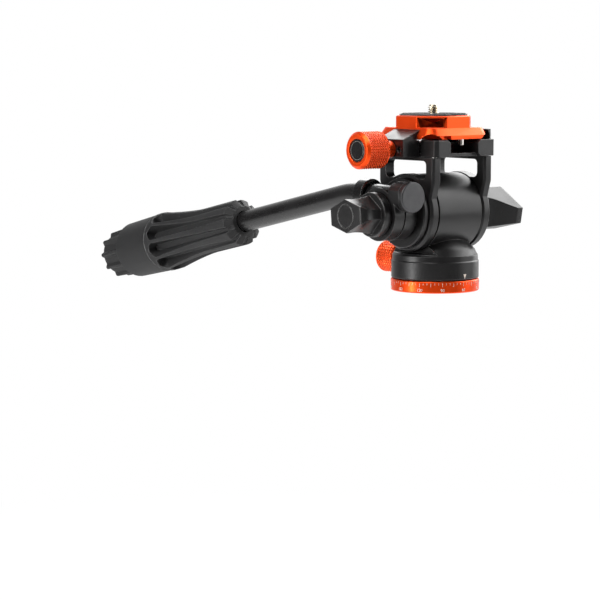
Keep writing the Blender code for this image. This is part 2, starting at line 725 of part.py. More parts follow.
def crown_points():
    """The part of the cheek's own disc that stands above the window's low edge."""
    if WINDOW_LOW_RISE >= CHEEK_RADIUS:
        return []
    half = sqrt(CHEEK_RADIUS ** 2 - WINDOW_LOW_RISE ** 2)
    steps = 2 * CORNER_STEPS
    return [(y, sqrt(CHEEK_RADIUS ** 2 - y ** 2))
            for y in (half * (2 * i / steps - 1) for i in range(steps + 1))]


def make_side_frame(name, sign, parent, look):
    levels = ((CHEEK_INNER, FRAME_CHAMFER), (CHEEK_INNER + FRAME_CHAMFER, 0),
              (CHEEK_OUTER - FRAME_CHAMFER, 0), (CHEEK_OUTER, FRAME_CHAMFER))
    rings = [[(sign * x, y, z) for y, z in frame_outline(inset)] for x, inset in levels]
    piece = add_piece(name, loft_mesh(name, rings), look["black"], parent)
    ends = sorted((sign * (CHEEK_INNER - OVERRUN), sign * (CHEEK_OUTER + OVERRUN)))
    shape_with(piece, prism_mesh(name + "_window", window_outline(), *ends, axis="X"))
    hole = ring_profile(0, AXLE_BORE, *ends)
    shape_with(piece, turned_mesh(name + "_hole", hole, SMALL_STEPS, "X"))
    drop = YOKE_SCREW_LENGTH
    bore = ring_profile(0, YOKE_SCREW_RADIUS + GAP, RAIL_TOP_RISE - drop, RAIL_TOP_RISE + OVERRUN)
    drills = []
    for place in screw_places():
        if place[0] * sign > 0:
            drill = turned_mesh("drill", bore, SMALL_STEPS // 2)
            drill.transform(Matrix.Translation((*place, 0)))
            drills.append(drill)
    shape_with(piece, joined_mesh(name + "_drills", drills))


def screw_places():
    """Where the tray is screwed down into the four legs, as (x, y)."""
    x = (CHEEK_INNER + CHEEK_OUTER) / 2 - YOKE_SCREW_RADIUS / 2
    y = LEG_HALF - LEG_WIDTH / 2
    return [(-x, -y), (x, -y), (-x, y), (x, y)]


def make_arm_boss(parent, look):
    profile = ring_profile(AXLE_BORE, BOSS_RADIUS, -BOSS_OUTER, -BOSS_INNER, EDGE)
    mesh = turned_mesh("arm_boss", profile, BIG_STEPS, "X")
    add_piece("arm_boss", mesh, look["black"], parent)


def make_tilt_axle(parent, look):
    """One steel shaft: the bar clamp's stud, the tilt axle and the lock's stud."""
    left = -(JAW_OUTER + STUD_REACH)
    step_left = -BOSS_OUTER
    step_right = CHEEK_OUTER - GAP
    right = TILT_KNOB_START + LOCK_STUD_REACH
    profile = [(0, left), (STUD_RADIUS, left), (STUD_RADIUS, step_left), (AXLE_RADIUS, step_left),
               (AXLE_RADIUS, step_right), (STUD_RADIUS, step_right), (STUD_RADIUS, right),
               (0, right)]
    mesh = turned_mesh("tilt_axle", profile, SMALL_STEPS, "X")
    add_piece("tilt_axle", mesh, look["steel"], parent)


# Plate clamp tray
def tray_outline():
    """The tray seen from above, with a wider wall on the fixed jaw's side."""
    left = -TRAY_HALF_WIDTH
    right = TRAY_HALF_WIDTH + TRAY_RIGHT_WALL
    deep = TRAY_HALF_DEPTH + LUG_REACH
    c = LUG_CHAMFER
    return [(left + c, -deep), (right - c, -deep), (right, c - deep), (right, deep - c),
            (right - c, deep), (left + c, deep), (left, deep - c), (left, c - deep)]


def make_clamp_tray(parent, look):
    base = prism_mesh("clamp_tray", tray_outline(), TRAY_LOW_RISE, LUG_TOP_RISE)
    piece = add_piece("clamp_tray", base, look["black"], parent)

    jaw_far = TRAY_HALF_WIDTH + FIXED_JAW_REACH
    jaw_low = LUG_TOP_RISE - GAP
    half_wall = (jaw_far - JAW_ROOT) / 2
    corner = min(FIXED_JAW_CORNER, half_wall - EDGE)
    outline = [(x + JAW_ROOT + half_wall, y) for x, y
               in rounded_rectangle(half_wall, FIXED_JAW_HALF, corner)]
    shape_with(piece, prism_mesh("fixed_jaw", outline, jaw_low, JAW_TOP_RISE), "UNION")
    shape_with(piece, dovetail_mesh("tray_dovetail", GAP, FIXED_JAW_HALF + OVERRUN))
    for sign in (-1, 1):
        shape_with(piece, front_cut(sign))
        shape_with(piece, edge_cut(sign))
        shape_with(piece, side_cut(sign))
    shape_with(piece, joined_mesh("tray_bores", tray_bores()))


def front_cut(sign):
    """The opening between the two lugs, from the block out through the end."""
    near = JAW_HALF_DEPTH
    far = TRAY_HALF_DEPTH + LUG_REACH + OVERRUN
    levels = sorted((sign * near, sign * far))
    half_wide = LUG_INNER + LUG_CHAMFER
    low, top = FLOOR_TOP_RISE, LUG_TOP_RISE + OVERRUN
    outline = [(-LUG_INNER, low), (LUG_INNER, low), (LUG_INNER, LUG_TOP_RISE - LUG_CHAMFER),
               (half_wide, LUG_TOP_RISE), (half_wide, top), (-half_wide, top),
               (-half_wide, LUG_TOP_RISE), (-LUG_INNER, LUG_TOP_RISE - LUG_CHAMFER)]
    return prism_mesh("tray_front_cut", outline, *levels, axis="Y")


def edge_cut(sign):
    """Cut the floor back between the lugs, whose lower inside corners are chamfered."""
    levels = sorted((sign * TRAY_HALF_DEPTH, sign * (TRAY_HALF_DEPTH + LUG_REACH + OVERRUN)))
    wide = LUG_INNER + LUG_CHAMFER
    low, top = TRAY_LOW_RISE, FLOOR_TOP_RISE + LUG_CHAMFER
    outline = [(-wide, low - OVERRUN), (wide, low - OVERRUN), (wide, low),
               (LUG_INNER, low + LUG_CHAMFER), (LUG_INNER, top), (-LUG_INNER, top),
               (-LUG_INNER, low + LUG_CHAMFER), (-wide, low)]
    return prism_mesh("tray_edge_cut", outline, *levels, axis="Y")


def side_cut(sign):
    """Clear the block's top, and its sides down to the floor."""
    half = JAW_HALF_DEPTH + GAP
    block_top = FLOOR_TOP_RISE + BLOCK_HEIGHT
    far = TRAY_HALF_WIDTH + OVERRUN
    if sign < 0:
        return box_mesh("tray_block_top", (-far, -half, block_top),
                        (BLOCK_HALF_WIDTH, half, LUG_TOP_RISE + OVERRUN))
    return box_mesh("tray_jaw_bay", (-far, -half, FLOOR_TOP_RISE),
                    (-BLOCK_HALF_WIDTH, half, LUG_TOP_RISE + OVERRUN))


def dovetail_mesh(name, gap, half_depth):
    """The plate's flange with clearance, pushed along Y, as a cutter."""
    wide = PLATE_HALF + gap
    narrow = wide - FLANGE_BEVEL_RUN
    low = PLATE_LOW_RISE - gap
    top = FLANGE_TOP_RISE + OVERRUN
    outline = [(-wide, low), (wide, low), (wide, BEVEL_LOW_RISE), (narrow, FLANGE_TOP_RISE),
               (narrow, top), (-narrow, top), (-narrow, FLANGE_TOP_RISE), (-wide, BEVEL_LOW_RISE)]
    return prism_mesh(name, outline, -half_depth, half_depth, axis="Y")


def tray_bores():
    """Holes for the clamp screw, its spring, the guide pins and the four screws."""
    bores = []
    start = -TRAY_HALF_WIDTH - OVERRUN
    spring_end = SPRING_LENGTH - TRAY_HALF_WIDTH + GAP
    screw_end = CLAMP_SCREW_REACH - TRAY_HALF_WIDTH + GAP
    wide = SPRING_COIL_RADIUS + SPRING_WIRE + GAP
    narrow = CLAMP_SCREW_RADIUS + GAP
    profile = [(0, start), (wide, start), (wide, spring_end), (narrow, spring_end),
               (narrow, screw_end), (0, screw_end)]
    screw = turned_mesh("bore", profile, SMALL_STEPS, "X")
    screw.transform(Matrix.Translation((0, 0, CLAMP_SCREW_RISE)))
    bores.append(screw)
    guide_end = GUIDE_LENGTH / 2 - TRAY_HALF_WIDTH + GAP
    for side in (-1, 1):
        profile = ring_profile(0, GUIDE_RADIUS + GAP, start, guide_end)
        guide = turned_mesh("bore", profile, SMALL_STEPS // 2, "X")
        guide.transform(Matrix.Translation((0, side * GUIDE_SPACING / 2, CLAMP_SCREW_RISE)))
        bores.append(guide)
    head = YOKE_SCREW_HEAD + GAP
    seat = LUG_TOP_RISE - YOKE_SCREW_HEAD_HEIGHT - GAP
    profile = [(0, TRAY_LOW_RISE - OVERRUN), (YOKE_SCREW_RADIUS + GAP, TRAY_LOW_RISE - OVERRUN),
               (YOKE_SCREW_RADIUS + GAP, seat), (head, seat), (head, LUG_TOP_RISE + OVERRUN),
               (0, LUG_TOP_RISE + OVERRUN)]
    for place in screw_places():
        drill = turned_mesh("bore", profile, SMALL_STEPS // 2)
        drill.transform(Matrix.Translation((*place, 0)))
        bores.append(drill)
    return bores


def make_yoke_screws(parent, look):
    seat = LUG_TOP_RISE - YOKE_SCREW_HEAD_HEIGHT
    low = RAIL_TOP_RISE - YOKE_SCREW_LENGTH + GAP
    profile = [(0, low), (YOKE_SCREW_RADIUS, low), (YOKE_SCREW_RADIUS, seat),
               (YOKE_SCREW_HEAD, seat), (YOKE_SCREW_HEAD, LUG_TOP_RISE - GAP),
               (0, LUG_TOP_RISE - GAP)]
    names = ("front_left", "front_right", "back_left", "back_right")
    for name, place in zip(names, screw_places()):
        mesh = turned_mesh("tray_screw_" + name, profile, SMALL_STEPS // 2)
        mesh.transform(Matrix.Translation((*place, 0)))
        add_piece("tray_screw_" + name, mesh, look["steel"], parent)


def make_guide_pins(parent, look):
    end = GUIDE_LENGTH / 2 - TRAY_HALF_WIDTH
    profile = ring_profile(0, GUIDE_RADIUS, end - GUIDE_LENGTH, end)
    for name, side in (("jaw_guide_front", -1), ("jaw_guide_back", 1)):
        mesh = turned_mesh(name, profile, SMALL_STEPS // 2, "X")
        mesh.transform(Matrix.Translation((0, side * GUIDE_SPACING / 2, CLAMP_SCREW_RISE)))
        add_piece(name, mesh, look["steel"], parent)


def make_jaw_spring(parent, look):
    """An open coil round the clamp screw, one unbroken wire."""
    count = SPRING_TURNS * SPRING_STEPS
    travel = SPRING_LENGTH - 2 * SPRING_WIRE - 2 * GAP
    start = SPRING_WIRE + GAP - TRAY_HALF_WIDTH
    rings = []
    for i in range(count + 1):
        angle = 2 * pi * i / SPRING_STEPS
        along = start + travel * i / count
        ring = []
        for offset, shift in circle_points(SPRING_WIRE, SPRING_SIDES):
            reach = SPRING_COIL_RADIUS + offset
            ring.append((along + shift, reach * cos(angle), CLAMP_SCREW_RISE + reach * sin(angle)))
        rings.append(ring)
    add_piece("jaw_spring", loft_mesh("jaw_spring", rings), look["steel"], parent)
    print("jaw_spring: least gap between coils %.2f mm" % (1000 * least_coil_gap(rings)))


def least_coil_gap(rings):
    """The least distance between points at least half a turn apart along the wire."""
    apart = SPRING_STEPS // 2
    return min(dist(first, second)
               for i, ring in enumerate(rings) for other in rings[i + apart:]
               for first in ring for second in other)


# Movable jaw and plate clamp knob
def make_movable_jaw(parent, look):
    shift = -CLAMP_SCREW_RISE
    low = TRAY_LOW_RISE + shift
    tip = PLATE_HALF - FLANGE_BEVEL_RUN + GAP + JAW_LIP
    outline = [(-JAW_FAR, low), (-JAW_NEAR, low), (-JAW_NEAR, PLATE_LOW_RISE - GAP + shift),
               (-tip, PLATE_LOW_RISE - GAP + shift), (-tip, JAW_TOP_RISE + shift),
               (-tip - 2 * GAP, JAW_TOP_RISE + shift), (-JAW_FAR, low + JAW_SHOULDER)]
    piece = add_piece("movable_jaw", prism_mesh("movable_jaw", outline, -JAW_HALF_DEPTH,
                                                JAW_HALF_DEPTH, axis="Y"), look["black"], parent)
    cut = dovetail_mesh("jaw_dovetail", GAP, JAW_HALF_DEPTH + OVERRUN)
    cut.transform(Matrix.Translation((0, 0, shift)))
    shape_with(piece, cut)
    ends = (-JAW_FAR - OVERRUN, -JAW_NEAR + OVERRUN)
    profile = ring_profile(0, CLAMP_SCREW_RADIUS + GAP, *ends)
    bores = [turned_mesh("bore", profile, SMALL_STEPS, "X")]
    for side in (-1, 1):
        guide = turned_mesh("bore", ring_profile(0, GUIDE_RADIUS + GAP, *ends),
                            SMALL_STEPS // 2, "X")
        guide.transform(Matrix.Translation((0, side * GUIDE_SPACING / 2, 0)))
        bores.append(guide)
    shape_with(piece, joined_mesh("jaw_bores", bores))


def make_plate_knob(parent, look):
    neck_start = JAW_FAR + GAP
    body_start = neck_start + PLATE_KNOB_NECK_LENGTH
    end = body_start + PLATE_KNOB_LENGTH
    levels = knob_levels(PLATE_KNOB_NECK, neck_start, PLATE_KNOB_RADIUS, body_start,
                         PLATE_KNOB_LENGTH, PLATE_KNOB_BEVEL)
    turn = Matrix.Rotation(-pi / 2, 4, "Y")
    mesh = knurled_mesh("plate_knob", levels, PLATE_KNOB_RADIUS, "Z")
    mesh.transform(turn)
    piece = add_piece("plate_knob", mesh, look["orange"], parent)
    screw_end = body_start + PLATE_KNOB_LENGTH / 2
    seat = end - PLATE_KNOB_DISC_DEPTH
    bore = ring_profile(0, CLAMP_SCREW_RADIUS + GAP, neck_start - OVERRUN, screw_end + GAP)
    recess = ring_profile(0, PLATE_KNOB_DISC + GAP, seat - GAP, end + OVERRUN)
    cut = joined_mesh("plate_knob_cut", [turned_mesh("bore", bore, SMALL_STEPS),
                                         turned_mesh("recess", recess, MID_STEPS)])
    cut.transform(turn)
    shape_with(piece, cut)

    profile = ring_profile(0, PLATE_KNOB_DISC, seat, end - GAP, GAP)
    mesh = turned_mesh("plate_knob_disc", profile, MID_STEPS)
    mesh.transform(turn)
    add_piece("plate_knob_disc", mesh, look["black"], parent)

    inner_end = TRAY_HALF_WIDTH - CLAMP_SCREW_REACH
    profile = ring_profile(0, CLAMP_SCREW_RADIUS, inner_end, screw_end)
    mesh = turned_mesh("plate_clamp_screw", profile, SMALL_STEPS)
    mesh.transform(turn)
    add_piece("plate_clamp_screw", mesh, look["steel"], parent)


# Quick release plate
def make_quick_plate(parent, look):
    """Dovetail flange below, eight-sided deck above, cut by two crossing slots."""
    shift = -PLATE_LOW_RISE
    edge_top = BEVEL_LOW_RISE + shift
    flange_top = FLANGE_TOP_RISE + shift
    deck_top = DECK_TOP_RISE + shift
    narrow = PLATE_HALF - FLANGE_BEVEL_RUN
    stations = ((PLATE_HALF, PLATE_CORNER, 0), (PLATE_HALF, PLATE_CORNER, edge_top),
                (narrow, PLATE_CORNER - FLANGE_BEVEL_RUN, flange_top))
    rings = [[(x, y, level) for x, y in rounded_rectangle(half, half, corner)]
             for half, corner, level in stations]
    piece = add_piece("quick_plate", loft_mesh("quick_plate", rings), look["orange"], parent)

    stations = ((DECK_HALF, flange_top - GAP), (DECK_HALF, deck_top - DECK_EDGE),
                (DECK_HALF - DECK_EDGE, deck_top))
    rings = [[(x, y, level) for x, y in octagon_points(half)] for half, level in stations]
    shape_with(piece, loft_mesh("plate_deck", rings), "UNION")

    for number in range(4):
        facing = Matrix.Rotation(pi / 4 + number * pi / 2, 4, "Z")
        low = SLOT_LOW_RISE + shift
        pocket = box_mesh("plate_pocket_%d" % number, (HUB_RADIUS, -SLOT_WIDTH / 2, low),
                          (2 * PLATE_HALF, SLOT_WIDTH / 2, low + SLOT_HEIGHT))
        pocket.transform(facing)
        shape_with(piece, pocket)
        ends = (PLATE_HALF - PLATE_CORNER, 2 * PLATE_HALF)
        channel = turned_mesh("plate_channel_%d" % number,
                              ring_profile(0, CHANNEL_RADIUS, *ends), SMALL_STEPS, "X")
        channel.transform(facing @ Matrix.Translation((0, 0, -CHANNEL_DROP)))
        shape_with(piece, channel)
    shape_with(piece, joined_mesh("plate_bores", plate_bores()))
    shape_with(piece, joined_mesh("plate_steps", plate_steps()))


def plate_bores():
    """The screw's head bore, its shank hole and the seats of both stop pins."""
    shift = -PLATE_LOW_RISE
    head_top = SCREW_HEAD_RISE + SCREW_HEAD_HEIGHT + GAP
    hole = SCREW_RADIUS + GAP
    top = DECK_TOP_RISE + shift + OVERRUN
    profile = [(0, -OVERRUN), (SCREW_HEAD_BORE, -OVERRUN), (SCREW_HEAD_BORE, head_top),
               (hole, head_top), (hole, top), (0, top)]
    bores = [turned_mesh("bore", profile, SMALL_STEPS)]
    for side in (-1, 1):
        seat = turned_mesh("bore", ring_profile(0, STOP_PIN_RADIUS + GAP, -OVERRUN,
                                                STOP_PIN_SEAT + GAP), SMALL_STEPS)
        seat.transform(Matrix.Translation((-side * STOP_PIN_SIDE, side * STOP_PIN_PLACE, 0)))
        bores.append(seat)
    return bores


def plate_steps():
    """The flange's lower edge is cut back along part of its front and its back."""
    far = PLATE_HALF - PLATE_CORNER / 2
    steps = []
    for side in (-1, 1):
        x = sorted((side * STEP_START, side * far))
        y = sorted((side * (PLATE_HALF - STEP_DEPTH), side * (PLATE_HALF + OVERRUN)))
        steps.append(box_mesh("step", (x[0], y[0], -OVERRUN), (x[1], y[1], FLANGE_EDGE)))
    return steps


def make_plate_pad(parent, look):
    low = PAD_LOW_RISE - PLATE_LOW_RISE
    mesh = prism_mesh("plate_pad", octagon_points(PAD_HALF), low, low + PAD_THICKNESS)
    piece = add_piece("plate_pad", mesh, look["rubber"], parent)
    profile = ring_profile(0, SCREW_RADIUS + GAP, low - OVERRUN, low + PAD_THICKNESS + OVERRUN)
    shape_with(piece, turned_mesh("pad_hole", profile, SMALL_STEPS))


def make_stop_pins(parent, look):
    profile = ring_profile(0, STOP_PIN_RADIUS, -STOP_PIN_DROP, STOP_PIN_SEAT)
    for name, side in (("stop_pin_front", -1), ("stop_pin_back", 1)):
        mesh = turned_mesh(name, profile, SMALL_STEPS // 2)
        mesh.transform(Matrix.Translation((-side * STOP_PIN_SIDE, side * STOP_PIN_PLACE, 0)))
        add_piece(name, mesh, look["steel"], parent)


def make_camera_screw(parent, look):
    """The captive screw: a slotted head in the plate and a grooved thread above."""
    shift = -PLATE_LOW_RISE
    head_low = SCREW_HEAD_LOW + shift
    head_top = head_low + SCREW_HEAD_HEIGHT
    tip = PAD_TOP_RISE + shift + SCREW_PROUD
    grooves = int((SCREW_PROUD + PAD_THICKNESS) / SCREW_PITCH)
    profile = [(0, head_low), (SCREW_HEAD_RADIUS, head_low), (SCREW_HEAD_RADIUS, head_top)]
    thread_low = tip - grooves * SCREW_PITCH
    profile += [(SCREW_ROOT, head_top), (SCREW_ROOT, thread_low)]
    for i in range(grooves):
        level = thread_low + i * SCREW_PITCH
        profile += [(SCREW_RADIUS, level + SCREW_PITCH / 2), (SCREW_ROOT, level + SCREW_PITCH)]
    profile.append((0, tip))
    piece = add_piece("camera_screw", turned_mesh("camera_screw", profile, SMALL_STEPS),
                      look["steel"], parent)
    reach = SCREW_HEAD_RADIUS + OVERRUN
    shape_with(piece, box_mesh("screw_slot", (-reach, -SCREW_SLOT_WIDTH / 2, head_low - OVERRUN),
                               (reach, SCREW_SLOT_WIDTH / 2, head_low + SCREW_SLOT_DEPTH)))


# Pan bar clamp
def make_friction_washer(parent, look):
    profile = ring_profile(STUD_BORE, FRICTION_RADIUS, -FRICTION_INNER - FRICTION_THICKNESS,
                           -FRICTION_INNER)
    mesh = turned_mesh("arm_friction_washer", profile, MID_STEPS, "X")
    add_piece("arm_friction_washer", mesh, look["plastic"], parent)


def make_clamp_jaw(name, near, far, parent, look):
    """Half of the split clamp: a round body with an ear over the bar's front."""
    profile = ring_profile(0, JAW_RADIUS, -far, -near)
    mesh = turned_mesh(name, profile, BIG_STEPS, "X")
    piece = add_piece(name, mesh, look["black"], parent)
    to_bar = Matrix.Translation((-BAR_PLACE, 0, BAR_RISE))

    ear = turned_mesh(name + "_ear", ring_profile(0, EAR_RADIUS, -EAR_FRONT, -EAR_BACK),
                      MID_STEPS, "Y")
    ear.transform(to_bar)
    shape_with(piece, ear, "UNION")
    reach = JAW_RADIUS + EAR_RADIUS + OVERRUN
    outside = [box_mesh("outside", (-near, -reach, -reach), (0, reach, reach + BAR_RISE)),
               box_mesh("outside", (-far - reach, -reach, -reach), (-far, reach, reach + BAR_RISE))]
    shape_with(piece, joined_mesh(name + "_trim", outside))
    seat = COLLAR_START - GAP
    profile = [(0, -reach), (BAR_BORE, -reach), (BAR_BORE, seat), (COLLAR_RADIUS + GAP, seat),
               (COLLAR_RADIUS + GAP, reach), (0, reach)]
    bore = turned_mesh(name + "_bore", profile, MID_STEPS, "Y")
    bore.transform(to_bar)
    shape_with(piece, bore)
    hole = ring_profile(0, STUD_BORE, -far - OVERRUN, -near + OVERRUN)
    shape_with(piece, turned_mesh(name + "_hole", hole, SMALL_STEPS, "X"))


# Wing knobs
def wing_ring(half, peak, tip, along):
    """Points round a six-sided section: two upright tips and two shallow peaks."""
    corners = ((half, tip), (0, peak), (-half, tip), (-half, -tip), (0, -peak), (half, -tip))
    points = []
    for i, (y, z) in enumerate(corners):
        next_y, next_z = corners[(i + 1) % len(corners)]
        for step in range(WING_EDGE_POINTS):
            share = step / WING_EDGE_POINTS
            points.append((along, y + (next_y - y) * share, z + (next_z - z) * share))
    return points


def round_ring(ring, radius, along):
    """A round section whose points stand in the same directions as the given ring's."""
    return [(along, y * radius / hypot(y, z), z * radius / hypot(y, z)) for _, y, z in ring]


def make_wing_knob(name, sizes, parent, look):
    """A flange on the stud and a wing that narrows to a waist and spreads again."""
    start, flange_radius, flange, length, half, peak, tip, turn, sign, shares = sizes
    wing = []
    for length_share, half_share, peak_share, tip_share in shares:
        along = start + flange + length_share * (length - flange)
        wing.append(wing_ring(half * half_share, peak * peak_share, tip * tip_share, along))
    outline = ring_profile(0, flange_radius, start, start + flange, EDGE)[1:-1]
    rings = [round_ring(wing[0], radius, along) for radius, along in outline] + wing
    facing = Matrix.Rotation(turn, 4, "X")
    if sign < 0:
        facing = facing @ Matrix.Rotation(pi, 4, "Z")
    piece = add_piece(name, loft_mesh(name, rings, matrix=facing), look["black"], parent)
    insert = STUD_BORE + ARM_INSERT_WALL
    depth = knob_bore_depth(sign)
    profile = [(0, start - OVERRUN), (insert + GAP, start - OVERRUN),
               (insert + GAP, start + ARM_INSERT_LENGTH + GAP),
               (STUD_BORE, start + ARM_INSERT_LENGTH + GAP), (STUD_BORE, start + depth),
               (0, start + depth)]
    bore = turned_mesh(name + "_bore", profile, SMALL_STEPS, "X")
    bore.transform(facing)
    shape_with(piece, bore)
    liner = turned_mesh(name + "_insert", ring_profile(STUD_BORE, insert, start,
                                                       start + ARM_INSERT_LENGTH), SMALL_STEPS, "X")
    liner.transform(facing)
    add_piece(name + "_insert", liner, look["bronze"], parent)


def knob_bore_depth(sign):
    reach = STUD_REACH if sign < 0 else LOCK_STUD_REACH
    return reach + GAP


def make_wing_knobs(arm_knob, tilt_knob, look):
    arm = (ARM_KNOB_START, ARM_KNOB_FLANGE_RADIUS, ARM_KNOB_FLANGE, ARM_KNOB_LENGTH,
           ARM_KNOB_HALF, ARM_KNOB_PEAK, ARM_KNOB_TIP, ARM_KNOB_TURN, -1, ARM_WING_SHARES)
    tilt = (TILT_KNOB_START, TILT_KNOB_FLANGE_RADIUS, TILT_KNOB_FLANGE, TILT_KNOB_LENGTH,
            TILT_KNOB_HALF, TILT_KNOB_PEAK, TILT_KNOB_TIP, TILT_KNOB_TURN, 1,
            TILT_WING_SHARES)
    make_wing_knob("arm_lock_knob", arm, arm_knob, look)
    make_wing_knob("tilt_lock_knob", tilt, tilt_knob, look)


def make_pressure_washer(parent, look):
    profile = ring_profile(STUD_BORE, PRESSURE_RADIUS, PRESSURE_INNER,
                           PRESSURE_INNER + PRESSURE_THICKNESS)
    mesh = turned_mesh("tilt_pressure_washer", profile, MID_STEPS, "X")
    add_piece("tilt_pressure_washer", mesh, look["steel"], parent)


# Pan bar
def bar_point(along):
    """A place on the bar's centre line and its slope, from the straight part's axis."""
    if along <= BEND_START:
        return Vector((0, along, 0)), 0.0
    arc = BEND_RADIUS * BEND_ANGLE
    turned = min((along - BEND_START) / BEND_RADIUS, BEND_ANGLE)
    point = Vector((0, BEND_START + BEND_RADIUS * sin(turned),
                    -BEND_RADIUS * (1 - cos(turned))))
    rest = max(0.0, along - BEND_START - arc)
    return point + rest * Vector((0, cos(turned), -sin(turned))), turned


def bar_stations(start, end):
    arc = BEND_RADIUS * BEND_ANGLE
    bend = [BEND_START + arc * i / BEND_STEPS for i in range(BEND_STEPS + 1)]
    return [start] + bend + [end]


def bar_ring(along, radius):
    centre, slope = bar_point(along)
    up = Vector((0, sin(slope), cos(slope)))
    side = Vector((1, 0, 0))
    return [centre + side * x + up * y for x, y in circle_points(radius, SMALL_STEPS)]


def grip_frame():
    """The matrix that carries the grip's own axis, +Z, onto the bar's sloping end."""
    drop = BEND_RADIUS * (1 - cos(BEND_ANGLE))
    bend_end = BEND_START + BEND_RADIUS * sin(BEND_ANGLE)
    place = Vector((0, GRIP_START, -drop - (GRIP_START - bend_end) * tan(BEND_ANGLE)))
    return Matrix.Translation(place) @ Matrix.Rotation(-pi / 2 - BEND_ANGLE, 4, "X")


def bar_length():
    """How far along its centre line the bar reaches, to the grip's blind end."""
    bend_end = BEND_START + BEND_RADIUS * sin(BEND_ANGLE)
    to_grip = (GRIP_START - bend_end) / cos(BEND_ANGLE)
    return BEND_START + BEND_RADIUS * BEND_ANGLE + to_grip + GRIP_LENGTH - 2 * CORE_END - PLUG_LENGTH


def make_bar_tube(parent, look):
    places = bar_stations(-BAR_FRONT, bar_length())
    outer = [bar_ring(place, BAR_RADIUS) for place in places]
    inner = [bar_ring(place, BAR_RADIUS - BAR_WALL) for place in reversed(places)]
    mesh = loft_mesh("pan_bar_tube", outer + inner, closed=True)
    add_piece("pan_bar_tube", mesh, look["black"], parent)


def make_bar_cap(parent, look):
    """A round cap whose spigot sits in the bar's front end."""
    face = -(BAR_FRONT + GAP + CAP_LENGTH)
    back = -(BAR_FRONT + GAP)
    spigot = BAR_RADIUS - BAR_WALL - GAP
    profile = [(0, face), (CAP_RADIUS - EDGE, face), (CAP_RADIUS, face + EDGE),
               (CAP_RADIUS, back - EDGE), (CAP_RADIUS - EDGE, back), (spigot, back),
               (spigot, back + CAP_SPIGOT), (0, back + CAP_SPIGOT)]
    mesh = turned_mesh("bar_end_cap", profile, MID_STEPS, "Y")
    add_piece("bar_end_cap", mesh, look["grey"], parent)


def make_bar_collar(parent, look):
    profile = ring_profile(BAR_RADIUS + GAP, COLLAR_RADIUS, COLLAR_START,
                           COLLAR_START + COLLAR_LENGTH, COLLAR_EDGE)
    mesh = turned_mesh("bar_collar", profile, MID_STEPS, "Y")
    add_piece("bar_collar", mesh, look["black"], parent)


def make_grip_core(parent, look):
    """The stiff liner between the bar and the rubber grip."""
    bore = BAR_RADIUS + GAP
    length = GRIP_LENGTH - CORE_END - PLUG_LENGTH
    mesh = turned_mesh("grip_core", ring_profile(bore, bore + CORE_WALL, CORE_END, length), MID_STEPS)
    mesh.transform(grip_frame())
    add_piece("grip_core", mesh, look["plastic"], parent)


def grip_ring(level, crest, floor, rib_share):
    """One section of the grip: a flat crest and a flat floor for each rib."""
    ring = []
    pitch = 2 * pi / GRIP_RIBS
    for rib in range(GRIP_RIBS):
        centre = rib * pitch
        half = pitch * rib_share / 2
        flank = pitch * (1 - rib_share) * GRIP_FLANK_SHARE / 2
        for angle, radius in ((centre - half, crest), (centre + half, crest),
                              (centre + half + flank, floor), (centre + pitch - half - flank, floor)):
            ring.append((radius * cos(angle), radius * sin(angle), level))
    return ring


def grip_rings():
    narrowing = GRIP_RIB_SHARE - GRIP_RIB_END_SHARE
    rings = [grip_ring(0, GRIP_NOSE_RADIUS, GRIP_NOSE_RADIUS - GRIP_STEP, GRIP_RIB_SHARE)]
    span = GRIP_BAND_START - GRIP_BEVEL
    for length_share, flare_share in GRIP_FLARE_SHARES:
        crest = GRIP_CREST + flare_share * (GRIP_BAND_RADIUS - GRIP_CREST)
        rings.append(grip_ring(GRIP_BEVEL + length_share * span, crest, GRIP_FLOOR,
                               GRIP_RIB_SHARE - narrowing * length_share))
    band_end = GRIP_BAND_RADIUS - GRIP_BAND_TAPER
    share = GRIP_RIB_END_SHARE
    rings.append(grip_ring(GRIP_BAND_START + GRIP_STEP, GRIP_BAND_RADIUS, GRIP_BAND_RADIUS, share))
    rings.append(grip_ring(GRIP_BAND_END, band_end, band_end, share))
    rings.append(grip_ring(GRIP_BAND_END + GRIP_STEP, GRIP_TAIL_RADIUS, GRIP_TAIL_FLOOR, share))
    rings.append(grip_ring(GRIP_LENGTH - GRIP_STEP, GRIP_TAIL_RADIUS - GRIP_TAIL_TAPER,
                           GRIP_TAIL_FLOOR - GRIP_TAIL_TAPER, share))
    rings.append(grip_ring(GRIP_LENGTH, GRIP_TAIL_FLOOR - GRIP_TAIL_TAPER,
                           GRIP_TAIL_FLOOR - GRIP_TAIL_TAPER - GRIP_STEP, share))
    return rings


def make_grip(parent, look):
    piece = add_piece("grip", loft_mesh("grip", grip_rings(), matrix=grip_frame()),
                      look["rubber"], parent)
    entry = BAR_RADIUS + GAP
    sleeve = entry + CORE_WALL + GAP
    near = CORE_END - GAP
    far = GRIP_LENGTH - CORE_END - PLUG_LENGTH + GAP
    plug_low = GRIP_LENGTH - PLUG_LENGTH - GAP
    profile = [(0, -OVERRUN), (entry, -OVERRUN), (entry, near), (sleeve, near), (sleeve, far),
               (entry, far), (entry, plug_low), (PLUG_RADIUS + GAP, plug_low),
               (PLUG_RADIUS + GAP, GRIP_LENGTH + OVERRUN), (0, GRIP_LENGTH + OVERRUN)]
    bore = turned_mesh("grip_bore", profile, MID_STEPS)
    bore.transform(grip_frame())
    shape_with(piece, bore)


def make_grip_plug(parent, look):
    profile = ring_profile(0, PLUG_RADIUS, GRIP_LENGTH - PLUG_LENGTH, GRIP_LENGTH, EDGE)
    mesh = turned_mesh("grip_end_plug", profile, MID_STEPS)
    mesh.transform(grip_frame())
    add_piece("grip_end_plug", mesh, look["black"], parent)


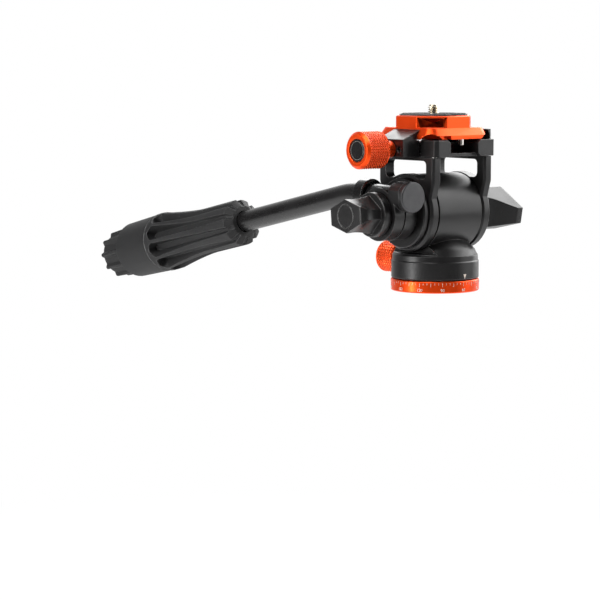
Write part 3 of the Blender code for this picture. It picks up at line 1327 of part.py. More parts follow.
# Assembly
def build():
    clear_scene()
    look = make_surfaces()

    base = pivot("base_pivot")
    make_base_block(base, look)
    make_socket_insert(base, look)
    make_scale_ring(base, look)

    pan = pivot("pan_pivot", parent=base)
    make_pan_bearing(base, pan, look)
    make_pan_housing(pan, look)
    pan_lock = pivot("pan_lock_pivot", (0, 0, PAN_KNOB_HEIGHT), pan)
    make_pan_lock(pan_lock, pivot("pan_knob_pivot", parent=pan_lock), look)

    axle_place = pivot("axle_pivot", (0, 0, TILT_HEIGHT), pan)
    make_tilt_bearings(axle_place, look)
    make_damper_case(axle_place, look)

    tilt = pivot("tilt_pivot", parent=axle_place)
    make_side_frame("cradle_side_left", -1, tilt, look)
    make_side_frame("cradle_side_right", 1, tilt, look)
    make_arm_boss(tilt, look)
    make_tilt_axle(tilt, look)
    make_damper_rotor(tilt, look)
    make_clamp_tray(tilt, look)
    make_yoke_screws(tilt, look)
    make_guide_pins(tilt, look)
    make_jaw_spring(tilt, look)
    make_pressure_washer(pivot("pressure_pivot", parent=tilt), look)

    jaw = pivot("plate_jaw_pivot", (0, 0, CLAMP_SCREW_RISE), tilt)
    make_movable_jaw(jaw, look)
    make_plate_knob(pivot("plate_knob_pivot", parent=jaw), look)

    plate = pivot("plate_pivot", (0, PLATE_BACK, PLATE_LOW_RISE), tilt)
    make_quick_plate(plate, look)
    make_plate_pad(plate, look)
    make_stop_pins(plate, look)
    make_camera_screw(pivot("camera_screw_pivot", parent=plate), look)

    arm = pivot("arm_pivot", parent=tilt)
    make_friction_washer(arm, look)
    make_clamp_jaw("clamp_jaw_inner", JAW_INNER, SLOT_INNER, arm, look)
    outer_jaw = pivot("outer_jaw_pivot", parent=arm)
    make_clamp_jaw("clamp_jaw_outer", SLOT_OUTER, JAW_OUTER, outer_jaw, look)
    make_wing_knobs(pivot("arm_knob_pivot", parent=outer_jaw),
                    pivot("tilt_knob_pivot", parent=tilt), look)

    bar = pivot("bar_pivot", (-BAR_PLACE, 0, BAR_RISE), arm)
    make_bar_tube(bar, look)
    make_bar_cap(bar, look)
    make_bar_collar(bar, look)
    make_grip_core(bar, look)
    make_grip(bar, look)
    make_grip_plug(bar, look)


build()
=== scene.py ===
"""Looks of a compact fluid video head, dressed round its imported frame.

All sizes are in metres. +Z points up, -Y to the front, where the lens looks, and +Y back
along the pan bar. Every piece stands where the frame has it, so objects stay at the origin
and their places are in their meshes.
"""
from math import cos, hypot, pi, radians, sin, tau

import bmesh
import bpy
from mathutils import Matrix, Vector


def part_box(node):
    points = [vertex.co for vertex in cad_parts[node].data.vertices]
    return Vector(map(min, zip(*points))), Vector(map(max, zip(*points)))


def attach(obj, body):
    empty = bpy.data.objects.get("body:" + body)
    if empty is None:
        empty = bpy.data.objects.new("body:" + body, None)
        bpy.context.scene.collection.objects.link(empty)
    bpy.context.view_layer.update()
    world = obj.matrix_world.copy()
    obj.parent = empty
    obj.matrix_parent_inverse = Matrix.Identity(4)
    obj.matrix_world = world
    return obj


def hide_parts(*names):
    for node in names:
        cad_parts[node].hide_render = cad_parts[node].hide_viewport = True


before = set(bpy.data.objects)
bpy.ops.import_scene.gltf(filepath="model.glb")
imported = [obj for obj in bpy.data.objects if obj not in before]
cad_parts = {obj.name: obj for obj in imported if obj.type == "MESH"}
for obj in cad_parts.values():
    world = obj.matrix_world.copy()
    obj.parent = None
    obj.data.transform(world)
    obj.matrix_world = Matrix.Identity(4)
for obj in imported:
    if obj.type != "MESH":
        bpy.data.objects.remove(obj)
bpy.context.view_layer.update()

bl_info = {
    "name": "Fluid video head",
    "version": (1, 0, 0),
    "blender": (4, 5, 0),
    "location": "View3D > Sidebar > Video Head",
    "description": "Dresses the frame of a compact fluid video head with its finished surfaces",
    "category": "Object",
}

# Places and sizes of the frame that the new pieces repeat
TILT_HEIGHT = 0.0463
CLAMP_SCREW_HEIGHT = 0.0835
PAN_KNOB_HEIGHT = 0.01715
BAR_SIDE = -0.0372
BAR_HEIGHT = 0.0568
PLATE_BACK = 0.0020

# Edges: facets closer than the weld are joined, and bends above the sharp angle are broken
WELD_DISTANCE = 0.000005
FLAT_ANGLE = radians(1.0)
SHARP_ANGLE = radians(32)
FINE_EDGE = 0.0001
BAR_EDGE = 0.0002
WING_EDGE = 0.00035

# Scale on the ring: zero stands to the right of the front, numbers grow towards -X
SCALE_ZERO = radians(-32.5)
SCALE_STEP = 5
SCALE_LONG_STEP = 15
SCALE_NUMBER_STEP = 30
MARK_DEPTH = 0.00006
MARK_SINK = 0.00010
DIGIT_SHARE = 0.72
CURVE_STEPS = 3

# Plain colours that no setting changes
STEEL = (0.63, 0.61, 0.57)
SCREW_STEEL = (0.74, 0.66, 0.53)
BRONZE = (0.50, 0.33, 0.14)
TURNED_BLACK = (0.075, 0.075, 0.077)
# Pale edge colours: they stand partly for wear and partly for a painted highlight on the edges
RUBBED_HIGHLIT_BLACK = (0.24, 0.235, 0.23)
RUBBED_HIGHLIT_ORANGE = (0.95, 0.30, 0.12)
# Painted shade: the darker orange painted into the knurl grooves
SHADED_GROOVE_ORANGE = (0.30, 0.014, 0.003)
RUBBED_HIGHLIT_RUBBER = (0.19, 0.19, 0.19)
PLASTIC = (0.55, 0.53, 0.48)
PALE_PLASTIC = (0.64, 0.62, 0.57)


class VideoHeadFinish(bpy.types.PropertyGroup):
    """Colours and edges of the finished surfaces"""
    black_colour: bpy.props.FloatVectorProperty(
        name="Black", description="Colour of the black anodised pieces",
        subtype="COLOR", size=3, min=0, max=1, default=(0.0050, 0.0047, 0.0049))
    orange_colour: bpy.props.FloatVectorProperty(
        name="Orange", description="Colour of the orange anodised pieces",
        subtype="COLOR", size=3, min=0, max=1, default=(0.84, 0.066, 0.0045))
    rubber_colour: bpy.props.FloatVectorProperty(
        name="Rubber", description="Colour of the grip and the plate's pad",
        subtype="COLOR", size=3, min=0, max=1, default=(0.0080, 0.0080, 0.0083))
    mark_colour: bpy.props.FloatVectorProperty(
        name="Marks", description="Colour of the printed scale and the index mark",
        subtype="COLOR", size=3, min=0, max=1, default=(0.72, 0.62, 0.54))
    edge_width: bpy.props.FloatProperty(
        name="Edge width", description="Width of the broken edges of machined pieces",
        unit="LENGTH", min=0, max=0.002, precision=5, default=0.00030)
    # How pale the edges of the black get: partly wear, partly a painted highlight
    edge_wear: bpy.props.FloatProperty(
        name="Edge wear", description="How far the black is rubbed pale along its edges",
        subtype="FACTOR", min=0, max=1, default=0.45)


class VideoHeadScale(bpy.types.PropertyGroup):
    """Sizes of the printed scale"""
    tick_width: bpy.props.FloatProperty(
        name="Tick width", description="Width of each tick on the scale ring",
        unit="LENGTH", min=0.0001, max=0.001, precision=5, default=0.00019)
    short_tick: bpy.props.FloatProperty(
        name="Short tick", description="Length of the ticks between the long ones",
        unit="LENGTH", min=0.0003, max=0.003, precision=5, default=0.0012)
    long_tick: bpy.props.FloatProperty(
        name="Long tick", description="Length of every third tick",
        unit="LENGTH", min=0.0003, max=0.004, precision=5, default=0.0022)
    number_height: bpy.props.FloatProperty(
        name="Number height", description="Height of the numbers on the scale",
        unit="LENGTH", min=0.0005, max=0.004, precision=5, default=0.0017)
    top_margin: bpy.props.FloatProperty(
        name="Top margin", description="Space between the ring's top and its ticks",
        unit="LENGTH", min=0, max=0.003, precision=5, default=0.0009)


class VideoHeadKnurl(bpy.types.PropertyGroup):
    """Sizes of the knurled walls"""
    pitch: bpy.props.FloatProperty(
        name="Pitch", description="Distance between the grooves of the knurled knobs",
        unit="LENGTH", min=0.0006, max=0.003, precision=5, default=0.0017)
    depth: bpy.props.FloatProperty(
        name="Depth", description="Depth of the grooves of the knurled knobs",
        unit="LENGTH", min=0, max=0.001, precision=5, default=0.00050)


class VideoHeadGrip(bpy.types.PropertyGroup):
    """Form of the moulded grip"""
    ribs: bpy.props.IntProperty(
        name="Ribs", description="Number of ribs round the grip", min=4, max=24, default=10)
    edge_width: bpy.props.FloatProperty(
        name="Edge width", description="Width of the soft edges of the moulded grip",
        unit="LENGTH", min=0, max=0.001, precision=5, default=0.00038)
    seam_width: bpy.props.FloatProperty(
        name="Seam width", description="Width of the mould seam along the grip's band",
        unit="LENGTH", min=0, max=0.002, precision=5, default=0.00030)


class VideoHeadStage(bpy.types.PropertyGroup):
    """Floor, camera and lights"""
    floor_drop: bpy.props.FloatProperty(
        name="Floor drop", description="How far the floor lies below the head",
        unit="LENGTH", min=0, max=2, default=0.30)
    lens: bpy.props.FloatProperty(
        name="Lens", description="Focal length of the camera", min=20, max=400, default=142.8)
    top_light: bpy.props.FloatProperty(
        name="Top light", description="Power of the large soft light behind and above",
        unit="POWER", min=0, max=500, default=24.0)
    front_light: bpy.props.FloatProperty(
        name="Front light", description="Power of the soft light at the front",
        unit="POWER", min=0, max=500, default=6.6)
    left_light: bpy.props.FloatProperty(
        name="Left light", description="Power of the tall light on the left",
        unit="POWER", min=0, max=500, default=14.0)
    right_light: bpy.props.FloatProperty(
        name="Right light", description="Power of the tall light on the right",
        unit="POWER", min=0, max=500, default=6.0)
    upper_light: bpy.props.FloatProperty(
        name="Upper light", description="Power of the soft light above the knobs on the left",
        unit="POWER", min=0, max=500, default=8.0)
    room_light: bpy.props.FloatProperty(
        name="Room light", description="Strength of the light from all round",
        min=0, max=2, default=0.09)


# Mesh helpers
def ring_place(radius, angle, height):
    """A point of a ring round the Z axis."""
    return (radius * cos(angle), radius * sin(angle), height)


def at_radius(x, y, radius):
    """The point in the same direction from the middle, at the given distance."""
    return (x * radius / hypot(x, y), y * radius / hypot(x, y))


def split_sides(outline, steps):
    """Points along each side of a closed outline, its corners among them."""
    points = []
    for (x, y), (next_x, next_y) in zip(outline, outline[1:] + outline[:1]):
        for step in range(steps):
            share = step / steps
            points.append((x + (next_x - x) * share, y + (next_y - y) * share))
    return points


def rounded_profile(points, radius):
    """The same open outline with each inner corner replaced by a short arc."""
    points = [Vector(point) for point in points]
    rounded = [points[0]]
    for before, corner, after in zip(points, points[1:], points[2:]):
        reach = min(radius, (before - corner).length / 2, (after - corner).length / 2)
        start = corner + (before - corner).normalized() * reach
        end = corner + (after - corner).normalized() * reach
        for step in range(CURVE_STEPS + 1):
            share = step / CURVE_STEPS
            rounded.append((1 - share) ** 2 * start + 2 * share * (1 - share) * corner
                           + share ** 2 * end)
    return rounded + [points[-1]]


def skin(bm, rings, closed=False):
    """Faces between equal rings of points, capped at their ends or closed into a tube."""
    loops = [[bm.verts.new(point) for point in ring] for ring in rings]
    followers = loops[1:] + loops[:1] if closed else loops[1:]
    for first, second in zip(loops, followers):
        for i in range(len(first)):
            bm.faces.new((first[i - 1], first[i], second[i], second[i - 1]))
    if not closed:
        bm.faces.new(loops[0])
        bm.faces.new(loops[-1])


def turned_rings(profile, steps):
    """A round ring of points for each radius and height of a profile."""
    return [[ring_place(radius, tau * i / steps, height) for i in range(steps)]
            for radius, height in profile]


def block(bm, corners):
    """A closed box from its eight corners, the lower four first."""
    verts = [bm.verts.new(corner) for corner in corners]
    for face in ((0, 3, 2, 1), (4, 5, 6, 7), (0, 1, 5, 4), (1, 2, 6, 5), (2, 3, 7, 6), (3, 0, 4, 7)):
        bm.faces.new([verts[i] for i in face])


def mesh_from(bm, name, matrix=None):
    """A smooth mesh with sharp creases, moved into place."""
    if matrix is not None:
        bm.transform(matrix)
    bmesh.ops.recalc_face_normals(bm, faces=bm.faces)
    mesh = bpy.data.meshes.new(name)
    bm.to_mesh(mesh)
    bm.free()
    mesh.shade_smooth()
    mesh.set_sharp_from_angle(angle=SHARP_ANGLE)
    return mesh


def add_piece(name, mesh, body, surface, stands_for=()):
    """A new piece that rides on a body, with its finish and the nodes it replaces."""
    mesh.materials.append(surface)
    piece = bpy.data.objects.new(name, mesh)
    bpy.context.scene.collection.objects.link(piece)
    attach(piece, body)
    if stands_for:
        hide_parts(*stands_for)
    return piece


def soften_edges(piece, width):
    """Small rounded edges, with flat faces kept flat."""
    bevel = piece.modifiers.new("soft_edges", "BEVEL")
    bevel.width = width
    bevel.segments = 2
    bevel.limit_method = "ANGLE"
    bevel.angle_limit = SHARP_ANGLE
    bevel.use_clamp_overlap = False
    bevel.harden_normals = True


def dress(name, surface, edge=None):
    """Give a node of the frame its finish, smooth rounds and broken edges."""
    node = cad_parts[name]
    mesh = node.data
    mesh.materials.clear()
    mesh.materials.append(surface)
    normals = mesh.attributes.get("custom_normal")
    if normals is not None:
        mesh.attributes.remove(normals)
    mesh.shade_smooth()
    weld = node.modifiers.new("joined_facets", "WELD")
    weld.merge_threshold = WELD_DISTANCE
    flats = node.modifiers.new("whole_faces", "DECIMATE")
    flats.decimate_type = "DISSOLVE"
    flats.angle_limit = FLAT_ANGLE
    soften_edges(node, bpy.context.scene.head_finish.edge_width if edge is None else edge)


def dress_all(names, surface, edge=None):
    """Give several nodes of the frame the same finish."""
    for name in names:
        dress(name, surface, edge)


# Node helpers
def add_node(tree, kind, **values):
    """A shader node with its settings."""
    node = tree.nodes.new("ShaderNode" + kind)
    for key, value in values.items():
        setattr(node, key, value)
    return node


def feed(tree, socket, value):
    """Link a socket to a socket, or set its plain value."""
    if isinstance(value, bpy.types.NodeSocket):
        tree.links.new(value, socket)
    else:
        socket.default_value = value


def sum_node(tree, operation, first, second=0.0):
    """The result of an operation on two numbers, each a socket or a plain value."""
    node = add_node(tree, "Math", operation=operation)
    feed(tree, node.inputs[0], first)
    feed(tree, node.inputs[1], second)
    return node.outputs[0]


def vector_node(tree, operation, first, second=(0, 0, 0), output="Vector"):
    """The result of an operation on one or two vectors, each a socket or plain values."""
    node = add_node(tree, "VectorMath", operation=operation)
    feed(tree, node.inputs[0], first)
    feed(tree, node.inputs[1], second)
    return node.outputs[output]


def range_node(tree, value, low, high, new_low=0.0, new_high=1.0):
    """A value spread from one range onto another, and held at its ends."""
    node = add_node(tree, "MapRange")
    feed(tree, node.inputs["Value"], value)
    node.inputs["From Min"].default_value = low
    node.inputs["From Max"].default_value = high
    node.inputs["To Min"].default_value = new_low
    node.inputs["To Max"].default_value = new_high
    return node.outputs["Result"]


def noise_node(tree, vector, scale, detail=2.0, roughness=0.5):
    """Soft noise at each place, from 0 to 1."""
    node = add_node(tree, "TexNoise")
    feed(tree, node.inputs["Vector"], vector)
    feed(tree, node.inputs["Scale"], scale)
    node.inputs["Detail"].default_value = detail
    node.inputs["Roughness"].default_value = roughness
    return node.outputs["Fac"]


def mixed_colour(tree, share, first, second):
    """A mix of two colours, each a socket or three plain values."""
    node = add_node(tree, "Mix", data_type="RGBA")
    feed(tree, node.inputs["Factor"], share)
    for socket, colour in ((node.inputs[6], first), (node.inputs[7], second)):
        linked = isinstance(colour, bpy.types.NodeSocket)
        feed(tree, socket, colour if linked else (*colour, 1))
    return node.outputs[2]


def scaled(colour, *factors):
    """A colour made lighter or darker, by one factor or by one for each channel."""
    if len(factors) == 1:
        factors = factors * len(colour)
    return tuple(channel * factor for channel, factor in zip(colour, factors))


def object_place(tree):
    """Where a point lies on its piece."""
    return add_node(tree, "TexCoord").outputs["Object"]


def made_once(kind):
    """Look a material or node group up by its name before its function makes it."""
    def wrap(make):
        def find_or_make(name=make.__name__, *values):
            found = getattr(bpy.data, kind).get(name)
            return make(name, *values) if found is None else found
        return find_or_make
    return wrap


# Effects that several materials share
def start_group(name, inputs, outputs):
    """A shader node group from its inputs, each with a default, and the names of its outputs."""
    group = bpy.data.node_groups.new(name, "ShaderNodeTree")
    for socket_name, value in inputs.items():
        kind = "NodeSocketVector" if isinstance(value, tuple) else "NodeSocketFloat"
        socket = group.interface.new_socket(socket_name, in_out="INPUT", socket_type=kind)
        socket.default_value = value
    for socket_name in outputs:
        group.interface.new_socket(socket_name, in_out="OUTPUT", socket_type="NodeSocketFloat")
    return group, group.nodes.new("NodeGroupInput").outputs, group.nodes.new("NodeGroupOutput")


def use_group(tree, group, **values):
    """A node group placed in a material with its own values."""
    node = tree.nodes.new("ShaderNodeGroup")
    node.node_tree = group
    for key, value in values.items():
        node.inputs[key.replace("_", " ")].default_value = value
    return node.outputs


@made_once("node_groups")
def fine_grain(name):
    """The fine blasted or moulded texture, and broad cloudy patches."""
    group, given, result = start_group(name, {"Grain Scale": 3000.0, "Patch Scale": 60.0},
                                       ["Height", "Patches"])
    place = object_place(group)
    grain = noise_node(group, place, given["Grain Scale"], detail=2.0, roughness=0.6)
    patches = noise_node(group, place, given["Patch Scale"], detail=3.0)
    feed(group, result.inputs["Height"], grain)
    feed(group, result.inputs["Patches"], range_node(group, patches, low=0.3, high=0.7))
    return group


@made_once("node_groups")
def edge_wear(name):
    """A mask that is strong on corners and edges, broken up by small scuffs; it pales the edges partly as
    wear and partly as a painted highlight.
    """
    group, given, result = start_group(name, {"Reach": 0.0004, "Scuff Scale": 400.0}, ["Wear"])
    rounded = add_node(group, "Bevel", samples=4)
    feed(group, rounded.inputs["Radius"], given["Reach"])
    plain = add_node(group, "NewGeometry").outputs["Normal"]
    alike = vector_node(group, "DOT_PRODUCT", rounded.outputs[0], plain, "Value")
    edges = range_node(group, sum_node(group, "SUBTRACT", 1.0, alike), low=0.004, high=0.09)
    scuffs = noise_node(group, object_place(group), given["Scuff Scale"], detail=3.0, roughness=0.6)
    broken = range_node(group, scuffs, low=0.35, high=0.62, new_low=0.25)
    feed(group, result.inputs["Wear"], sum_node(group, "MULTIPLY", edges, broken))
    return group


def turned_place(tree, given):
    """How far a point lies along the axis of a turned piece, and how far out from it."""
    offset = vector_node(tree, "SUBTRACT", object_place(tree), given["Centre"])
    along = vector_node(tree, "DOT_PRODUCT", offset, given["Axis"], "Value")
    across = vector_node(tree, "CROSS_PRODUCT", offset, given["Axis"])
    return along, vector_node(tree, "LENGTH", across, output="Value")


@made_once("node_groups")
def turned_marks(name):
    """Fine lines left by turning, round the walls and faces of a turned piece."""
    group, given, result = start_group(
        name, {"Centre": (0, 0, 0), "Axis": (0, 0, 1), "Line Scale": 2600.0}, ["Height"])
    along, radius = turned_place(group, given)
    lines = add_node(group, "TexNoise", noise_dimensions="1D")
    feed(group, lines.inputs["W"], sum_node(group, "ADD", along, radius))
    feed(group, lines.inputs["Scale"], given["Line Scale"])
    lines.inputs["Detail"].default_value = 4.0
    feed(group, result.inputs["Height"], lines.outputs["Fac"])
    return group


@made_once("node_groups")
def knurl_grooves(name):
    """A mask of the grooves in a knurled wall, found from their depth below its radius, where shade is
    painted in.
    """
    group, given, result = start_group(
        name, {"Centre": (0, 0, 0), "Axis": (0, 0, 1), "Radius": 0.01, "Depth": 0.0005,
               "Start": 0.0, "End": 0.01}, ["Grooves"])
    along, radius = turned_place(group, given)
    sunk = sum_node(group, "SUBTRACT", given["Radius"], radius)
    deep = range_node(group, sum_node(group, "DIVIDE", sunk, given["Depth"]), low=0.30, high=1.0)
    after_start = sum_node(group, "GREATER_THAN", along, given["Start"])
    before_end = sum_node(group, "LESS_THAN", along, given["End"])
    inside = sum_node(group, "MULTIPLY", after_start, before_end)
    feed(group, result.inputs["Grooves"], sum_node(group, "MULTIPLY", deep, inside))
    return group


@made_once("node_groups")
def dust(name):
    """Sparse specks of dust and lint that have settled on the piece."""
    group, given, result = start_group(name, {"Speck Scale": 900.0, "Amount": 0.10}, ["Specks"])
    place = object_place(group)
    specks = noise_node(group, place, given["Speck Scale"], detail=1.0)
    spread = noise_node(group, place, scale=70.0)
    bright = range_node(group, specks, low=0.68, high=0.80)
    patchy = sum_node(group, "MULTIPLY", bright, range_node(group, spread, low=0.45, high=0.65))
    feed(group, result.inputs["Specks"], sum_node(group, "MULTIPLY", patchy, given["Amount"]))
    return group


# Materials
def start_surface(name, grain, roughness, metallic=0.0, specular=0.5, drift="Patches"):
    """A material with its grain and patches, and a roughness that drifts between two values.

    The grain is given as the scales of its texture and of its patches.
    """
    material = bpy.data.materials.new(name)
    material.use_nodes = True
    tree = material.node_tree
    tree.nodes.clear()
    principled = add_node(tree, "BsdfPrincipled")
    result = add_node(tree, "OutputMaterial")
    feed(tree, result.inputs["Surface"], principled.outputs["BSDF"])
    shader = principled.inputs
    shader["Metallic"].default_value = metallic
    shader["Specular IOR Level"].default_value = specular
    grain_scale, patch_scale = grain
    texture = use_group(tree, fine_grain(), Grain_Scale=grain_scale, Patch_Scale=patch_scale)
    feed(tree, shader["Roughness"], range_node(tree, texture[drift], 0.0, 1.0, *roughness))
    return material, tree, shader, texture


def add_bump(tree, shader, heights, distance):
    """Raise the surface by the sum of the given heights."""
    total = heights[0]
    for height in heights[1:]:
        total = sum_node(tree, "ADD", total, height)
    bump = add_node(tree, "Bump")
    bump.inputs["Distance"].default_value = distance
    bump.inputs["Strength"].default_value = 1.0
    feed(tree, bump.inputs["Height"], total)
    feed(tree, shader["Normal"], bump.outputs["Normal"])


def rubbed_colour(tree, body, pale, amount, wear_and_highlight, specks=None):
    """A colour made pale along the edges, partly as wear and partly as a painted highlight, with dust on
    it where there is some.
    """
    share = sum_node(tree, "MULTIPLY", wear_and_highlight["Wear"], amount)
    if specks is not None:
        share = sum_node(tree, "ADD", share, specks["Specks"])
    return mixed_colour(tree, share, body, pale)


@made_once("materials")
def satin_black(name):
    """Bead-blasted black anodising, a little pale along its edges, partly from wear and partly as a
    painted highlight.
    """
    finish = bpy.context.scene.head_finish
    material, tree, shader, grain = start_surface(name, grain=(5200.0, 70.0),
                                                  roughness=(0.33, 0.41), specular=0.36)
    # Pale edges: partly wear, partly a painted highlight
    wear_and_highlight = use_group(tree, edge_wear(), Reach=0.00045, Scuff_Scale=420.0)
    specks = use_group(tree, dust(), Speck_Scale=1100.0, Amount=0.10)
    dark = finish.black_colour
    body = mixed_colour(tree, grain["Patches"], dark, scaled(dark, 1.45))
    feed(tree, shader["Base Color"],
         rubbed_colour(tree, body, RUBBED_HIGHLIT_BLACK, finish.edge_wear, wear_and_highlight, specks))
    add_bump(tree, shader, [grain["Height"]], distance=0.000010)
    return material


@made_once("materials")
def smooth_black(name, centre, axis):
    """Black anodising over fine turning lines, for the bar and other turned pieces."""
    material, tree, shader, grain = start_surface(name, grain=(7000.0, 50.0),
                                                  roughness=(0.24, 0.30), specular=0.42)
    lines = use_group(tree, turned_marks(), Centre=centre, Axis=axis, Line_Scale=5200.0)
    dark = bpy.context.scene.head_finish.black_colour
    feed(tree, shader["Base Color"], mixed_colour(tree, grain["Patches"], dark, scaled(dark, 1.3)))
    add_bump(tree, shader, [grain["Height"], lines["Height"]], distance=0.000004)
    return material


@made_once("materials")
def bright_orange(name, centre=None, axis=(0, 0, 1), knurl=None):
    """Glossy orange anodising, with turning lines where a piece is turned, edges paled partly by wear and
    partly as a painted highlight, and painted shade in the grooves of a knurled wall.

    A knurled wall is given as its radius and its ends along the axis.
    """
    material, tree, shader, grain = start_surface(
        name, grain=(4200.0, 55.0), roughness=(0.30, 0.38), metallic=0.72, specular=0.30)
    # Pale edges: partly wear, partly a painted highlight
    wear_and_highlight = use_group(tree, edge_wear(), Reach=0.00035, Scuff_Scale=500.0)
    bright = bpy.context.scene.head_finish.orange_colour
    body = mixed_colour(tree, grain["Patches"], scaled(bright, 0.94, 0.86, 0.8), bright)
    coloured = rubbed_colour(tree, body, RUBBED_HIGHLIT_ORANGE, amount=0.55, wear_and_highlight=wear_and_highlight)
    if knurl is not None:
        radius, start, end = knurl
        grooves = use_group(tree, knurl_grooves(), Centre=centre, Axis=axis, Radius=radius,
                            Depth=bpy.context.scene.head_knurl.depth, Start=start, End=end)
        # Painted shade: the knurl grooves are coloured a darker orange
        coloured = mixed_colour(tree, grooves["Grooves"], coloured, SHADED_GROOVE_ORANGE)
    feed(tree, shader["Base Color"], coloured)
    heights = [grain["Height"]]
    if centre is not None:
        lines = use_group(tree, turned_marks(), Centre=centre, Axis=axis, Line_Scale=3800.0)
        heights.append(lines["Height"])
    add_bump(tree, shader, heights, distance=0.000008)
    return material


@made_once("materials")
def moulded_rubber(name):
    """Matt dark rubber with a fine moulded skin, a little dusty, its edges paled partly by wear and
    partly as a painted highlight.
    """
    material, tree, shader, grain = start_surface(name, grain=(2600.0, 45.0),
                                                  roughness=(0.58, 0.68), specular=0.32)
    # Pale edges: partly wear, partly a painted highlight
    wear_and_highlight = use_group(tree, edge_wear(), Reach=0.00045, Scuff_Scale=300.0)
    specks = use_group(tree, dust(), Speck_Scale=800.0, Amount=0.20)
    dark = bpy.context.scene.head_finish.rubber_colour
    body = mixed_colour(tree, grain["Patches"], dark, scaled(dark, 1.35))
    feed(tree, shader["Base Color"],
         rubbed_colour(tree, body, RUBBED_HIGHLIT_RUBBER, amount=0.80, wear_and_highlight=wear_and_highlight, specks=specks))
    add_bump(tree, shader, [grain["Height"]], distance=0.00003)
    return material


@made_once("materials")
def turned_metal(name, colour, roughness, centre=(0, 0, 0), axis=(0, 0, 1), depth=0.000008):
    """Bare metal with turning lines and faint stains."""
    material, tree, shader, grain = start_surface(
        name, grain=(3000.0, 160.0), roughness=(roughness, roughness + 0.10), metallic=1.0)
    lines = use_group(tree, turned_marks(), Centre=centre, Axis=axis, Line_Scale=3400.0)
    feed(tree, shader["Base Color"],
         mixed_colour(tree, grain["Patches"], scaled(colour, 0.78), colour))
    add_bump(tree, shader, [lines["Height"]], depth)
    return material


@made_once("materials")
def slick_plastic(name):
    """Pale low-friction plastic, faintly mottled."""
    material, tree, shader, grain = start_surface(name, grain=(2000.0, 80.0),
                                                  roughness=(0.42, 0.55), drift="Height")
    feed(tree, shader["Base Color"], mixed_colour(tree, grain["Patches"], PLASTIC, PALE_PLASTIC))
    add_bump(tree, shader, [grain["Height"]], distance=0.00001)
    return material


@made_once("materials")
def printed_white(name):
    """White marking ink, slightly uneven."""
    material, tree, shader, grain = start_surface(name, grain=(4000.0, 700.0),
                                                  roughness=(0.5, 0.65), drift="Height")
    ink = bpy.context.scene.head_finish.mark_colour
    feed(tree, shader["Base Color"], mixed_colour(tree, grain["Patches"], scaled(ink, 0.82), ink))
    return material


def steel():
    """Bright machined steel."""
    return turned_metal("machined_steel", STEEL, 0.24)


def bronze():
    """Bearing bronze."""
    return turned_metal("bearing_bronze", BRONZE, 0.36)


# Turns that point the axis of a turned piece to the left or to the back
TO_LEFT = Matrix.Rotation(-pi / 2, 4, "Y")
TO_BACK = Matrix.Rotation(-pi / 2, 4, "X")


# Scale ring and index mark
def curved_patch(bm, angle, half_width, low, high, radius):
    """A thin raised patch on a round wall, between two heights."""
    half = half_width / radius
    inner = radius - MARK_SINK
    outer = radius + MARK_DEPTH
    corners = [(inner, angle - half), (inner, angle + half), (outer, angle + half), (outer, angle - half)]
    block(bm, [ring_place(*corner, height) for height in (low, high) for corner in corners])


def wrapped_number(bm, text, angle, level, radius, height):
    """A number bent round the wall, its middle at the given angle and level."""
    letters = bpy.data.curves.new("scale_number", "FONT")
    letters.body = text
    letters.size = height / DIGIT_SHARE
    letters.align_x = "CENTER"
    letters.extrude = MARK_DEPTH
    letters.resolution_u = CURVE_STEPS
    holder = bpy.data.objects.new("scale_number", letters)
    bpy.context.scene.collection.objects.link(holder)
    view = bpy.context.evaluated_depsgraph_get()
    flat = bpy.data.meshes.new_from_object(holder.evaluated_get(view))
    for vertex in flat.vertices:
        x, y, depth = vertex.co
        vertex.co = ring_place(radius + depth, angle + x / radius, level + y - height / 2)
    bm.from_mesh(flat)
    bpy.data.objects.remove(holder)
    bpy.data.curves.remove(letters)
    bpy.data.meshes.remove(flat)


def make_scale_marks():
    """The ticks and numbers round the scale ring."""
    sizes = bpy.context.scene.head_scale
    low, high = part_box("scale_ring")
    radius = high.x
    top = high.z - sizes.top_margin
    bm = bmesh.new()
    for degree in range(0, 360, SCALE_STEP):
        angle = SCALE_ZERO - radians(degree)
        length = sizes.short_tick if degree % SCALE_LONG_STEP else sizes.long_tick
        curved_patch(bm, angle, sizes.tick_width / 2, top - length, top, radius)
        if degree % SCALE_NUMBER_STEP == 0:
            level = (low.z + top - sizes.long_tick) / 2
            wrapped_number(bm, str(degree), angle, level, radius, sizes.number_height)
    mesh = mesh_from(bm, "scale_marks")
    add_piece("scale_marks", mesh, "base", printed_white())


def make_index_mark():
    """The small triangle over the scale, on the housing's front."""
    radius = 0.0258
    half_width = 0.0011
    height = 0.0028
    foot = 0.0007
    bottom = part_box("pan_housing")[0].z + foot
    top = bottom + height
    front = -pi / 2
    half = half_width / radius
    bm = bmesh.new()
    skin(bm, [[ring_place(reach, front, bottom), ring_place(reach, front + half, top),
               ring_place(reach, front, top), ring_place(reach, front - half, top)]
              for reach in (radius - MARK_SINK, radius + MARK_DEPTH)])
    mesh = mesh_from(bm, "index_mark")
    add_piece("index_mark", mesh, "pan_head", printed_white())


# Knurled knobs
KNURL_STEPS = 5
GROOVE_SHARE = 3.2
GROOVE_FADE = 2.5
NECK_ROUND = 0.0004
FACE_ROUND = 0.0003


def knurl_groove(turn):
    """How deep a groove is at a place between two ridges, from 0 to 1."""
    return max(0.0, 1 - abs(turn % 1 - 0.5) * GROOVE_SHARE)


